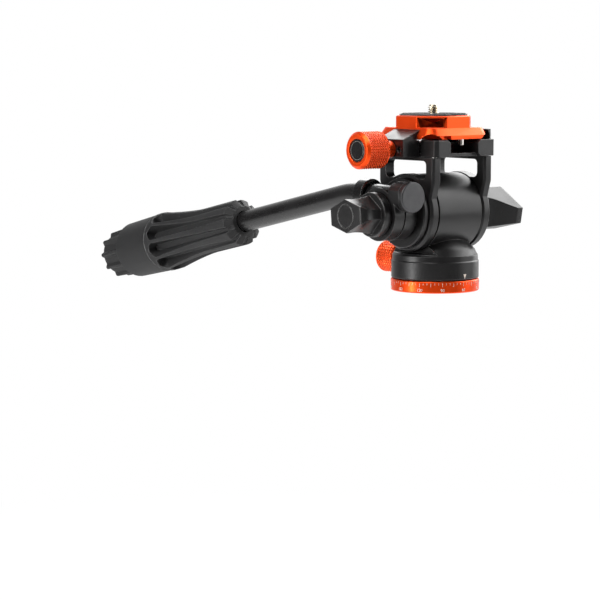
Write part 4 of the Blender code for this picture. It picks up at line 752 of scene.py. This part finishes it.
def knurled_rings(back, face, start, end, radius):
    """Rings of a knob: smooth back and face profiles and a diamond-cut wall between."""
    knurl = bpy.context.scene.head_knurl
    steps = KNURL_STEPS * round(tau * radius / knurl.pitch)
    rows = round(KNURL_STEPS * (end - start) / knurl.pitch)
    rings = turned_rings(back, steps)
    for row in range(rows + 1):
        height = start + (end - start) * row / rows
        climb = (height - start) / knurl.pitch
        fade = min(1.0, GROOVE_FADE * row / KNURL_STEPS, GROOVE_FADE * (rows - row) / KNURL_STEPS)
        ring = []
        for i in range(steps):
            turn = i / KNURL_STEPS
            cut = max(knurl_groove(turn + climb), knurl_groove(turn - climb))
            ring.append(ring_place(radius - knurl.depth * cut * fade, tau * i / steps, height))
        rings.append(ring)
    return rings + turned_rings(face, steps)


def make_knurled_knob(name, body, node, facing, centre, axis, finish, wall, neck, front):
    """A knurled knob on its neck, with its finish named and its front outline given.

    The wall has a start, an end, a radius and a bevel; the neck a start, a radius and a bore.
    """
    start, end, radius, bevel = wall
    neck_start, neck_radius, bore = neck
    back = rounded_profile([(bore, start), (bore, neck_start), (neck_radius, neck_start),
                            (neck_radius, start), (radius - bevel, start),
                            (radius, start + bevel)], NECK_ROUND)
    face = rounded_profile([(radius, end - bevel), (radius - bevel, end), *front], FACE_ROUND)
    knurled_ends = (start + bevel, end - bevel)
    bm = bmesh.new()
    skin(bm, knurled_rings(back, face, *knurled_ends, radius))
    mesh = mesh_from(bm, name, Matrix.Translation(centre) @ facing)
    surface = bright_orange(finish, centre, axis, (radius, *knurled_ends))
    add_piece(name, mesh, body, surface, [node])


def make_plate_knob():
    """The plate clamp's knob, with a black disc and a bright ring in its face."""
    start, end, radius, bevel = 0.0433, 0.0610, 0.0108, 0.0016
    neck_start, neck_radius, bore = 0.0355, 0.0050, 0.0033
    recess, recess_depth = 0.0068, 0.0015
    floor = end - recess_depth
    centre = (0, 0, CLAMP_SCREW_HEIGHT)
    make_knurled_knob("plate_knob_body", "jaw_knob", "plate_knob", TO_LEFT, centre, (-1, 0, 0),
                      "plate_knob_orange", (start, end, radius, bevel),
                      (neck_start, neck_radius, bore),
                      [(recess, end), (recess, floor), (bore, floor)])
    dress("plate_knob_disc", smooth_black("plate_knob_black", centre, (1, 0, 0)))
    dress("plate_clamp_screw", steel(), FINE_EDGE)

    ring_inner, ring_outer, ring_steps = 0.00515, 0.00545, 72
    disc_face = -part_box("plate_knob_disc")[0].x
    sunk = disc_face - MARK_SINK
    raised = disc_face + MARK_DEPTH
    bm = bmesh.new()
    skin(bm, turned_rings([(ring_inner, sunk), (ring_outer, sunk), (ring_outer, raised),
                           (ring_inner, raised)], ring_steps), closed=True)
    mesh = mesh_from(bm, "plate_knob_ring", Matrix.Translation(centre) @ TO_LEFT)
    add_piece("plate_knob_ring", mesh, "jaw_knob", steel())


def make_pan_lock_knob():
    """The pan lock's knob, with a shallow dish in its face."""
    start, end, radius, bevel = 0.0276, 0.0434, 0.0094, 0.0012
    neck_start, neck_radius, bore = 0.0226, 0.0050, 0.0027
    dish, dish_depth = 0.0062, 0.0004
    floor = end - dish_depth
    make_knurled_knob("pan_lock_knob_body", "pan_knob", "pan_lock_knob", TO_BACK,
                      (0, 0, PAN_KNOB_HEIGHT), (0, 1, 0), "pan_knob_orange",
                      (start, end, radius, bevel), (neck_start, neck_radius, bore),
                      [(dish, end), (dish - dish_depth, floor), (bore, floor)])
    dress("pan_lock_screw", steel(), FINE_EDGE)
    dress("pan_brake_shoe", bronze(), FINE_EDGE)


# Camera screw
def thread_rings(start, tip, root, crest, pitch, steps):
    """Rings of a helical thread whose crests stand out and fade at both ends."""
    rows_per_turn, run_out = 12, 1.6
    flank, flat = 2.6, 0.30
    rows = round((tip - start) / pitch * rows_per_turn)
    rings = []
    for row in range(rows + 1):
        height = start + (tip - start) * row / rows
        fade = min(1.0, row / rows_per_turn, run_out * (rows - row) / rows_per_turn)
        ring = []
        for i in range(steps):
            place = ((height - start) / pitch - i / steps) % 1
            rise = max(0.0, min(1.0, flank * (0.5 - abs(place - 0.5))) - flat) / (1 - flat)
            ring.append(ring_place(root + (crest - root) * rise * fade, tau * i / steps, height))
        rings.append(ring)
    return rings


def make_camera_screw():
    """A helical thread on a low head under the plate."""
    head_low, head_top, head_radius, head_bevel = 0.0951, 0.0975, 0.0075, 0.0003
    thread_start, tip, root, crest = 0.1010, 0.1088, 0.00225, 0.00325
    pitch, steps = 0.00127, 48
    tip_bevel, tip_rise = 0.0005, 0.00001
    profile = [(head_radius - head_bevel, head_low), (head_radius, head_low + head_bevel),
               (head_radius, head_top - head_bevel), (head_radius - head_bevel, head_top),
               (root, head_top), (root, thread_start - pitch / 2)]
    bm = bmesh.new()
    skin(bm, turned_rings(profile, steps)
         + thread_rings(thread_start, tip, root, crest, pitch, steps)
         + turned_rings([(root - tip_bevel, tip + tip_rise)], steps))
    centre = (0, PLATE_BACK, 0)
    mesh = mesh_from(bm, "camera_screw_body", Matrix.Translation(centre))
    surface = turned_metal("screw_steel", SCREW_STEEL, 0.22, centre)
    add_piece("camera_screw_body", mesh, "mount_screw", surface, ["camera_screw"])


# Plate pad
OCTAGON_CORNER = 0.4142
PAD_SHEET_SHARE = 0.45
PAD_HOLE = 0.0036
PAD_PITCH = 0.00095
PAD_FOOT_SHARE = 0.48
PAD_TIP_SHARE = 0.35
PAD_SIDE_STEPS = 6


def add_pad_points(bm, half, corner, sheet, top):
    """Small pyramids in rows over the pad, clear of its sides and its hole."""
    count = int(half / PAD_PITCH)
    reach = PAD_PITCH * PAD_FOOT_SHARE
    edge = 1.5 * PAD_PITCH
    for column in range(-count, count + 1):
        for row in range(-count, count + 1):
            x, y = column * PAD_PITCH, row * PAD_PITCH
            inside = abs(x) + abs(y) < half + corner - edge and max(abs(x), abs(y)) <= half - reach
            if not inside or hypot(x, y) < PAD_HOLE + PAD_PITCH:
                continue
            foot = [(x - reach, y - reach), (x + reach, y - reach),
                    (x + reach, y + reach), (x - reach, y + reach)]
            tip = [(x + (px - x) * PAD_TIP_SHARE, y + (py - y) * PAD_TIP_SHARE) for px, py in foot]
            block(bm, [(*p, sheet - MARK_SINK) for p in foot] + [(*p, top) for p in tip])


def make_plate_pad():
    """A rubber sheet whose top is cut into rows of small pyramids."""
    low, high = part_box("plate_pad")
    half = high.x
    corner = half * OCTAGON_CORNER
    sheet = low.z + (high.z - low.z) * PAD_SHEET_SHARE
    outline = [(half, corner), (corner, half), (-corner, half), (-half, corner),
               (-half, -corner), (-corner, -half), (corner, -half), (half, -corner)]
    outer = split_sides(outline, PAD_SIDE_STEPS)
    inner = [at_radius(x, y, PAD_HOLE) for x, y in outer]
    bm = bmesh.new()
    skin(bm, [[(x, y, level) for x, y in ring] for ring, level in
              ((outer, low.z), (outer, sheet), (inner, sheet), (inner, low.z))], closed=True)
    add_pad_points(bm, half, corner, sheet, high.z)
    mesh = mesh_from(bm, "plate_pad_ribbed", Matrix.Translation((0, (low.y + high.y) / 2, 0)))
    add_piece("plate_pad_ribbed", mesh, "plate", moulded_rubber(), ["plate_pad"])


# Wing knobs. Each row holds a share of the length, and of the wing's half width, peak and tip.
ARM_WING_SHARES = ((0.0, 0.74, 1.15, 0.60), (0.28, 0.66, 1.05, 0.58), (0.50, 0.68, 1.0, 0.62),
                   (0.71, 0.81, 0.98, 0.80), (0.87, 0.93, 1.0, 0.95), (0.965, 1.0, 1.0, 1.0),
                   (1.0, 0.985, 0.985, 0.98))
TILT_WING_SHARES = ((0.0, 0.44, 1.0, 1.99), (0.15, 0.46, 1.0, 1.95), (0.31, 0.54, 1.0, 1.81),
                    (0.46, 0.67, 1.0, 1.58), (0.62, 0.83, 1.0, 1.30), (0.78, 0.97, 1.0, 1.05),
                    (0.84, 1.0, 1.0, 1.0), (0.97, 1.0, 1.0, 1.0), (1.0, 0.985, 0.985, 0.98))
WING_SIDE_STEPS = 12
WING_BORE = 0.0065
WING_BORE_DEPTH = 0.0100
FLANGE_STEP = 0.0016
FLANGE_ROUND = 0.0010
CIRCLE_RADIUS = 0.0065
CIRCLE_GROOVE = 0.00045


def wing_ring(half, peak, tip, along):
    """Points round a six-sided section: two upright tips and two shallow peaks."""
    corners = [(half, tip), (0, peak), (-half, tip), (-half, -tip), (0, -peak), (half, -tip)]
    return [(along, y, z) for y, z in split_sides(corners, WING_SIDE_STEPS)]


def round_ring(ring, radius, along):
    """A round section whose points stand in the same directions as the given ring's."""
    return [(along, *at_radius(y, z, radius)) for _, y, z in ring]


def smooth_rows(rows):
    """More rows between the given ones, on a smooth curve through them all."""
    parts = 5
    rows = [Vector(row) for row in rows]
    smooth = []
    for i in range(len(rows) - 1):
        before = rows[max(i - 1, 0)]
        first = rows[i]
        second = rows[i + 1]
        after = rows[min(i + 2, len(rows) - 1)]
        start_slope = (second - before) / 2
        end_slope = (after - first) / 2
        rise = second - first
        for step in range(parts):
            share = step / parts
            smooth.append(first + share * start_slope
                          + share ** 2 * (3 * rise - 2 * start_slope - end_slope)
                          + share ** 3 * (start_slope + end_slope - 2 * rise))
    return smooth + [rows[-1]]


def make_wing_knob(name, body, node, facing, start, flange_end, flange_radius, end, half, peak, tip,
                   shares, circle=False):
    """A cast knob: round flange, narrow waist and a spread wing with soft edges."""
    sections = []
    for length_share, half_share, peak_share, tip_share in smooth_rows(shares):
        along = flange_end + length_share * (end - flange_end)
        sections.append(wing_ring(half * half_share, peak * peak_share, tip * tip_share, along))
    guide = sections[0]
    rounds = rounded_profile(
        [(WING_BORE, start + WING_BORE_DEPTH), (WING_BORE, start), (flange_radius, start),
         (flange_radius, flange_end), (flange_radius - FLANGE_STEP, flange_end)], FLANGE_ROUND)
    rings = [round_ring(guide, radius, along) for radius, along in rounds] + sections
    if circle:
        groove_radius = CIRCLE_RADIUS + CIRCLE_GROOVE
        groove_floor = end - CIRCLE_GROOVE
        for radius, along in ((groove_radius, end), (groove_radius, groove_floor),
                              (CIRCLE_RADIUS, groove_floor), (CIRCLE_RADIUS, end)):
            rings.append(round_ring(guide, radius, along))
    bm = bmesh.new()
    skin(bm, rings)
    mesh = mesh_from(bm, name, Matrix.Translation((0, 0, TILT_HEIGHT)) @ facing)
    soften_edges(add_piece(name, mesh, body, satin_black(), [node]), WING_EDGE)


def make_wing_knobs():
    """The knob of the bar's clamp on the left and the knob of the tilt lock on the right."""
    to_left = Matrix.Rotation(radians(-5), 4, "X") @ Matrix.Rotation(pi, 4, "Z")
    make_wing_knob("arm_wing_knob", "arm_knob", "arm_lock_knob", to_left, start=0.0453,
                   flange_end=0.0506, flange_radius=0.0130, end=0.0693, half=0.0130, peak=0.0098,
                   tip=0.0049, shares=ARM_WING_SHARES, circle=True)
    to_right = Matrix.Rotation(radians(10), 4, "X")
    make_wing_knob("tilt_wing_knob", "tilt_knob", "tilt_lock_knob", to_right, start=0.0249,
                   flange_end=0.0279, flange_radius=0.0160, end=0.0512, half=0.0210, peak=0.0130,
                   tip=0.0047, shares=TILT_WING_SHARES)


# Grip, along its own axis from its nose to its tail
GRIP_NOSE = Vector((BAR_SIDE, 0.1340, 0.03443))
GRIP_SLOPE = radians(12.3)
GRIP_LENGTH = 0.1400
GRIP_BORE = 0.00665
PLUG_RADIUS = 0.0083
PLUG_START = 0.1355
BORE_FLOOR = 0.0080
NOSE_CREST = 0.0098
NOSE_FLOOR = 0.0093
NOSE_BEVEL = 0.0038
WAIST_CREST = 0.0144
POCKET_FLOOR = 0.0124
POCKET_ROUND = 0.0038
RIB_END = 0.0768
WIDE_RIB = 0.60
THIN_RIB = 0.17
FLOOR_SHARE = 0.62
FLARE_START = 0.45
FLARE_SHARE = 0.98
FLARE_POWER = 1.4
BAND_START = 0.0809
BAND_END = 0.1180
BAND_RADIUS = 0.0190
BAND_END_RADIUS = 0.0179
BAND_ROUND = 0.0006
BAND_STEP = 0.0001
LIP = 0.0030
# Each row holds a step behind the lip and how far the band sinks there
LIP_GROOVE = ((0.0, 0.0), (0.0002, 0.0005), (0.0007, 0.0005), (0.0009, 0.0003))
TAIL_CREST = 0.0161
TAIL_FLOOR = 0.0140
TAIL_STEP = 0.0002
TAIL_TAPER = 0.0009
TAIL_BEVEL = 0.0008
TAIL_END_CREST = 0.0134
TAIL_END_FLOOR = 0.0125
SEAM_START = 0.0026
SEAM_TURN = radians(-62)


def grip_ring(level, crest, floor, rib_share, pocket_share=1.0):
    """One section of the grip: a crest, two flanks and a floor for each rib."""
    ribs = bpy.context.scene.head_grip.ribs
    pitch = tau / ribs
    pocket = pitch * (1 - rib_share) / 2 * pocket_share
    crest_half = pitch / 2 - pocket
    floor_half = pocket * FLOOR_SHARE
    ring = []
    for rib in range(ribs):
        centre = rib * pitch
        valley = centre + pitch / 2
        for angle, radius in ((centre - crest_half, crest), (centre - crest_half / 3, crest),
                              (centre + crest_half / 3, crest), (centre + crest_half, crest),
                              (valley - floor_half, floor), (valley, floor),
                              (valley + floor_half, floor)):
            ring.append(ring_place(radius, angle, level))
    return ring


def rib_rings():
    """Sections of the ribs, which get thinner and higher towards the band."""
    rows = 16
    rings = []
    for row in range(rows + 1):
        share = row / rows
        level = NOSE_BEVEL + share * (RIB_END - NOSE_BEVEL)
        flare = max(0.0, share - FLARE_START) / (1 - FLARE_START)
        crest = WAIST_CREST + (BAND_RADIUS - WAIST_CREST) * FLARE_SHARE * flare ** FLARE_POWER
        rings.append(grip_ring(level, crest, POCKET_FLOOR, WIDE_RIB - (WIDE_RIB - THIN_RIB) * share))
    return rings


def pocket_ends():
    """Sections that close the pockets between the ribs with round ends."""
    rows = 6
    crest = BAND_RADIUS - BAND_STEP
    rings = []
    for row in range(1, rows):
        turn = pi / 2 * row / rows
        level = RIB_END + POCKET_ROUND * sin(turn)
        rings.append(grip_ring(level, crest, POCKET_FLOOR, THIN_RIB, cos(turn)))
    return rings


def band_rings():
    """Sections of the smooth band, with a lip at its front and a round at its end."""
    rings = [grip_ring(BAND_START, BAND_RADIUS, BAND_RADIUS, THIN_RIB, pocket_share=0.1)]
    levels = [(BAND_START + LIP + step, BAND_RADIUS - sink) for step, sink in LIP_GROOVE]
    levels += [(BAND_END - BAND_ROUND, BAND_END_RADIUS), (BAND_END, BAND_END_RADIUS - BAND_ROUND)]
    return rings + [grip_ring(level, radius, radius, THIN_RIB) for level, radius in levels]


def tail_rings():
    """Sections of the narrower, fluted tail."""
    return [grip_ring(BAND_END + TAIL_STEP, TAIL_CREST, TAIL_FLOOR, THIN_RIB),
            grip_ring(GRIP_LENGTH - TAIL_BEVEL, TAIL_CREST - TAIL_TAPER, TAIL_FLOOR - TAIL_TAPER,
                      THIN_RIB),
            grip_ring(GRIP_LENGTH, TAIL_END_CREST, TAIL_END_FLOOR, THIN_RIB)]


def seam_rings():
    """The mould seam: a thin three-sided strip along the band."""
    half = bpy.context.scene.head_grip.seam_width / 2
    rings = []
    for level, radius in ((BAND_START + SEAM_START, BAND_RADIUS),
                          (BAND_END - BAND_ROUND, BAND_END_RADIUS)):
        foot = radius - MARK_SINK
        rings.append([ring_place(radius + MARK_DEPTH * 2, SEAM_TURN, level),
                      ring_place(foot, SEAM_TURN - half / radius, level),
                      ring_place(foot, SEAM_TURN + half / radius, level)])
    return rings


def make_grip():
    """The ribbed grip on its bar, with the plug and the core that it hides."""
    outside = [grip_ring(0, NOSE_CREST, NOSE_FLOOR, WIDE_RIB)] + rib_rings() + pocket_ends()
    outside += band_rings() + tail_rings()

    def hole(radius, level):
        """A round ring of the bore, with as many points as the outside."""
        return [(*at_radius(x, y, radius), level) for x, y, _ in outside[0]]

    bm = bmesh.new()
    skin(bm, [hole(GRIP_BORE, BORE_FLOOR), hole(GRIP_BORE, 0)] + outside
         + [hole(PLUG_RADIUS, GRIP_LENGTH), hole(PLUG_RADIUS, PLUG_START)])
    skin(bm, seam_rings())
    facing = Matrix.Rotation(-pi / 2 - GRIP_SLOPE, 4, "X")
    mesh = mesh_from(bm, "ribbed_grip", Matrix.Translation(GRIP_NOSE) @ facing)
    piece = add_piece("ribbed_grip", mesh, "pan_bar", moulded_rubber(), ["grip"])
    soften_edges(piece, bpy.context.scene.head_grip.edge_width)
    dress("grip_end_plug", moulded_rubber())
    dress("grip_core", slick_plastic(), FINE_EDGE)


# Operators
class HEAD_OT_dress_base(bpy.types.Operator):
    """Finish the base and its scale ring, and print the scale"""
    bl_idname = "video_head.dress_base"
    bl_label = "Base and Scale Ring"

    def execute(self, context):
        dress("scale_ring", bright_orange("ring_orange", (0, 0, 0), (0, 0, 1)))
        make_scale_marks()
        dress("base_block", satin_black())
        dress("socket_insert", steel())
        return {"FINISHED"}


class HEAD_OT_dress_housing(bpy.types.Operator):
    """Finish the pan housing and print its index mark"""
    bl_idname = "video_head.dress_housing"
    bl_label = "Pan Housing"

    def execute(self, context):
        dress("pan_housing", satin_black())
        make_index_mark()
        return {"FINISHED"}


class HEAD_OT_dress_bearings(bpy.types.Operator):
    """Finish the bearings, washers and drag units inside the head"""
    bl_idname = "video_head.dress_bearings"
    bl_label = "Bearings and Drag Units"

    def execute(self, context):
        dress_all(("pan_drag_rotor", "pan_spring_washer", "pan_retaining_nut",
                   "tilt_pressure_washer"), steel(), FINE_EDGE)
        dress_all(("pan_drag_stator", "pan_bush_lower", "pan_bush_upper", "tilt_bearing_left",
                   "tilt_bearing_right", "tilt_lock_knob_insert", "arm_lock_knob_insert"),
                  bronze(), FINE_EDGE)
        dress_all(("thrust_washer", "tilt_damper_rotor", "arm_friction_washer"),
                  slick_plastic(), FINE_EDGE)
        dress("tilt_damper_case", satin_black(), FINE_EDGE)
        return {"FINISHED"}


class HEAD_OT_make_pan_lock_knob(bpy.types.Operator):
    """Make the knurled knob of the pan lock"""
    bl_idname = "video_head.make_pan_lock_knob"
    bl_label = "Pan Lock Knob"

    def execute(self, context):
        make_pan_lock_knob()
        return {"FINISHED"}


class HEAD_OT_dress_cradle(bpy.types.Operator):
    """Finish the side frames, the friction boss and the tilt axle"""
    bl_idname = "video_head.dress_cradle"
    bl_label = "Tilt Cradle"

    def execute(self, context):
        dress_all(("cradle_side_left", "cradle_side_right", "arm_boss"), satin_black())
        dress("tilt_axle", turned_metal("axle_steel", STEEL, 0.24, (0, 0, TILT_HEIGHT), (1, 0, 0)),
              FINE_EDGE)
        return {"FINISHED"}


class HEAD_OT_dress_plate_clamp(bpy.types.Operator):
    """Finish the tray, the movable jaw and their screws, pins and spring"""
    bl_idname = "video_head.dress_plate_clamp"
    bl_label = "Plate Clamp"

    def execute(self, context):
        dress_all(("clamp_tray", "movable_jaw"), satin_black())
        dress_all(("tray_screw_front_left", "tray_screw_front_right", "tray_screw_back_left",
                   "tray_screw_back_right", "jaw_guide_front", "jaw_guide_back", "jaw_spring"),
                  steel(), FINE_EDGE)
        return {"FINISHED"}


class HEAD_OT_make_plate_knob(bpy.types.Operator):
    """Make the knurled knob of the plate clamp"""
    bl_idname = "video_head.make_plate_knob"
    bl_label = "Plate Clamp Knob"

    def execute(self, context):
        make_plate_knob()
        return {"FINISHED"}


class HEAD_OT_dress_quick_plate(bpy.types.Operator):
    """Finish the quick release plate and its pins, and make its ribbed pad"""
    bl_idname = "video_head.dress_quick_plate"
    bl_label = "Quick Release Plate"

    def execute(self, context):
        dress("quick_plate", bright_orange())
        make_plate_pad()
        dress_all(("stop_pin_front", "stop_pin_back"), steel())
        return {"FINISHED"}


class HEAD_OT_make_camera_screw(bpy.types.Operator):
    """Make the threaded camera screw"""
    bl_idname = "video_head.make_camera_screw"
    bl_label = "Camera Screw"

    def execute(self, context):
        make_camera_screw()
        return {"FINISHED"}


class HEAD_OT_dress_bar_clamp(bpy.types.Operator):
    """Finish both jaws of the pan bar's clamp"""
    bl_idname = "video_head.dress_bar_clamp"
    bl_label = "Pan Bar Clamp"

    def execute(self, context):
        dress_all(("clamp_jaw_inner", "clamp_jaw_outer"), satin_black())
        return {"FINISHED"}


class HEAD_OT_make_wing_knobs(bpy.types.Operator):
    """Make the wing knobs of the bar clamp and the tilt lock"""
    bl_idname = "video_head.make_wing_knobs"
    bl_label = "Wing Knobs"

    def execute(self, context):
        make_wing_knobs()
        return {"FINISHED"}


class HEAD_OT_dress_pan_bar(bpy.types.Operator):
    """Finish the pan bar, its collar and its end cap"""
    bl_idname = "video_head.dress_pan_bar"
    bl_label = "Pan Bar"

    def execute(self, context):
        place = (BAR_SIDE, 0, BAR_HEIGHT)
        axis = (0, 1, 0)
        dress("pan_bar_tube", smooth_black("bar_black", place, axis), BAR_EDGE)
        dress("bar_collar", smooth_black("collar_black", place, axis))
        dress("bar_end_cap", turned_metal("turned_cap", TURNED_BLACK, 0.32, place, axis, 0.00003))
        return {"FINISHED"}


class HEAD_OT_make_grip(bpy.types.Operator):
    """Make the ribbed rubber grip"""
    bl_idname = "video_head.make_grip"
    bl_label = "Grip"

    def execute(self, context):
        make_grip()
        return {"FINISHED"}


# Stage
BACKDROP_SIDE = Vector((0.68, 0.73, 0.0))
BACKDROP_RANGE = (0.3, 0.9)
FLOOR_REACH = 6.0
FLOOR_COLOUR = (0.90, 0.90, 0.90, 1)
WHITE = (1, 1, 1, 1)
LIGHT_TARGET = Vector((0, 0, 0.06))
CAMERA_PLACE = (-0.9458, -1.0322, 0.1420)
CAMERA_TURN = (radians(83.944), 0, radians(-39.242))
SENSOR_WIDTH = 36

# Each light's place, width and height
LIGHTS = {"top_light": ((0.71, 0.20, 0.76), (1.75, 0.9)),
          "front_light": ((0.90, -0.80, 0.38), (0.6, 0.9)),
          "left_light": ((-1.25, 0.33, 0.20), (0.22, 0.9)),
          "right_light": ((1.20, 0.10, 0.35), (0.35, 0.8)),
          "upper_light": ((-0.60, -0.10, 0.80), (0.6, 0.6))}


def shows_background(tree, direction):
    """1 for the rays that show the white backdrop; glossy ones see it behind the head."""
    rays = add_node(tree, "LightPath").outputs
    heading = vector_node(tree, "NORMALIZE", direction)
    side = vector_node(tree, "DOT_PRODUCT", heading, BACKDROP_SIDE, "Value")
    behind = range_node(tree, side, *BACKDROP_RANGE)
    glossy = sum_node(tree, "MULTIPLY", rays["Is Glossy Ray"], behind)
    seen = sum_node(tree, "MAXIMUM", rays["Is Camera Ray"], glossy)
    return sum_node(tree, "MAXIMUM", seen, rays["Is Transmission Ray"])


def mix_shaders(tree, output, share, first, second):
    """The first shader turned into the second by the given share, as the tree's output."""
    mix = add_node(tree, "MixShader")
    feed(tree, mix.inputs["Fac"], share)
    feed(tree, mix.inputs[1], first.outputs[0])
    feed(tree, mix.inputs[2], second.outputs[0])
    result = add_node(tree, output)
    feed(tree, result.inputs["Surface"], mix.outputs["Shader"])


def make_floor(stage):
    """A wide pale floor, white where only the backdrop is to be seen."""
    bm = bmesh.new()
    corners = ((-1, -1), (1, -1), (1, 1), (-1, 1))
    bm.faces.new([bm.verts.new((x * FLOOR_REACH, y * FLOOR_REACH, -stage.floor_drop))
                  for x, y in corners])
    mesh = bpy.data.meshes.new("stage_floor")
    bm.to_mesh(mesh)
    bm.free()
    material = bpy.data.materials.new("pale_floor")
    material.use_nodes = True
    tree = material.node_tree
    tree.nodes.clear()
    plain = add_node(tree, "BsdfDiffuse")
    plain.inputs["Color"].default_value = FLOOR_COLOUR
    white = add_node(tree, "Emission")
    place = add_node(tree, "NewGeometry").outputs["Position"]
    distance = vector_node(tree, "LENGTH", place, output="Value")
    whiteness = range_node(tree, distance, low=0.3, high=1.0, new_low=0.75)
    share = sum_node(tree, "MULTIPLY", shows_background(tree, place), whiteness)
    mix_shaders(tree, "OutputMaterial", share, plain, white)
    mesh.materials.append(material)
    floor = bpy.data.objects.new("stage_floor", mesh)
    bpy.context.scene.collection.objects.link(floor)


def make_world(stage):
    """Faint light from all round, and white where the backdrop is to be seen."""
    world = bpy.data.worlds.new("studio")
    bpy.context.scene.world = world
    world.use_nodes = True
    tree = world.node_tree
    tree.nodes.clear()
    room = add_node(tree, "Background")
    room.inputs["Color"].default_value = WHITE
    room.inputs["Strength"].default_value = stage.room_light
    white = add_node(tree, "Background")
    white.inputs["Color"].default_value = WHITE
    direction = add_node(tree, "TexCoord").outputs["Generated"]
    mix_shaders(tree, "OutputWorld", shows_background(tree, direction), room, white)


def make_lights(stage):
    """The soft rectangular lights round the head."""
    for name, (place, size) in LIGHTS.items():
        lamp = bpy.data.lights.new(name, "AREA")
        lamp.shape = "RECTANGLE"
        lamp.size, lamp.size_y = size
        lamp.energy = getattr(stage, name)
        holder = bpy.data.objects.new(name, lamp)
        holder.location = place
        holder.rotation_euler = (Vector(place) - LIGHT_TARGET).to_track_quat("Z", "Y").to_euler()
        bpy.context.scene.collection.objects.link(holder)


def make_camera(stage):
    """The photograph's viewpoint: to the left of the front, a little above the head."""
    lens = bpy.data.cameras.new("camera")
    lens.lens = stage.lens
    lens.sensor_width = SENSOR_WIDTH
    camera = bpy.data.objects.new("camera", lens)
    camera.location = CAMERA_PLACE
    camera.rotation_euler = CAMERA_TURN
    bpy.context.scene.collection.objects.link(camera)
    bpy.context.scene.camera = camera


class HEAD_OT_set_stage(bpy.types.Operator):
    """Set the floor, the soft lights, the background and the camera"""
    bl_idname = "video_head.set_stage"
    bl_label = "Stage"

    def execute(self, context):
        stage = context.scene.head_stage
        make_floor(stage)
        make_world(stage)
        make_lights(stage)
        make_camera(stage)
        context.scene.view_settings.view_transform = "Standard"
        return {"FINISHED"}


SETTINGS = {"head_finish": VideoHeadFinish, "head_scale": VideoHeadScale,
            "head_knurl": VideoHeadKnurl, "head_grip": VideoHeadGrip,
            "head_stage": VideoHeadStage}
STEPS = (HEAD_OT_dress_base, HEAD_OT_dress_housing, HEAD_OT_dress_bearings,
         HEAD_OT_make_pan_lock_knob, HEAD_OT_dress_cradle, HEAD_OT_dress_plate_clamp,
         HEAD_OT_make_plate_knob, HEAD_OT_dress_quick_plate, HEAD_OT_make_camera_screw,
         HEAD_OT_dress_bar_clamp, HEAD_OT_make_wing_knobs, HEAD_OT_dress_pan_bar,
         HEAD_OT_make_grip, HEAD_OT_set_stage)


class HEAD_PT_panel(bpy.types.Panel):
    """The steps that dress the head, in order, and their settings"""
    bl_label = "Video Head"
    bl_idname = "HEAD_PT_panel"
    bl_space_type = "VIEW_3D"
    bl_region_type = "UI"
    bl_category = "Video Head"

    def draw(self, context):
        """List every setting, then every step."""
        for group in SETTINGS:
            box = self.layout.box()
            settings = getattr(context.scene, group)
            for name in settings.bl_rna.properties.keys():
                if name not in ("rna_type", "name"):
                    box.prop(settings, name)
        for step in STEPS:
            self.layout.operator(step.bl_idname)


def register():
    """Add the settings, the operators and the panel to Blender."""
    for name, group in SETTINGS.items():
        bpy.utils.register_class(group)
        setattr(bpy.types.Scene, name, bpy.props.PointerProperty(type=group))
    for step in STEPS:
        bpy.utils.register_class(step)
    bpy.utils.register_class(HEAD_PT_panel)


def unregister():
    """Take the panel, the operators and the settings out again."""
    bpy.utils.unregister_class(HEAD_PT_panel)
    for step in reversed(STEPS):
        bpy.utils.unregister_class(step)
    for name, group in SETTINGS.items():
        delattr(bpy.types.Scene, name)
        bpy.utils.unregister_class(group)


def main():
    """Run every step in order."""
    register()
    for step in STEPS:
        group, name = step.bl_idname.split(".")
        getattr(getattr(bpy.ops, group), name)()


if __name__ == "__main__":
    main()
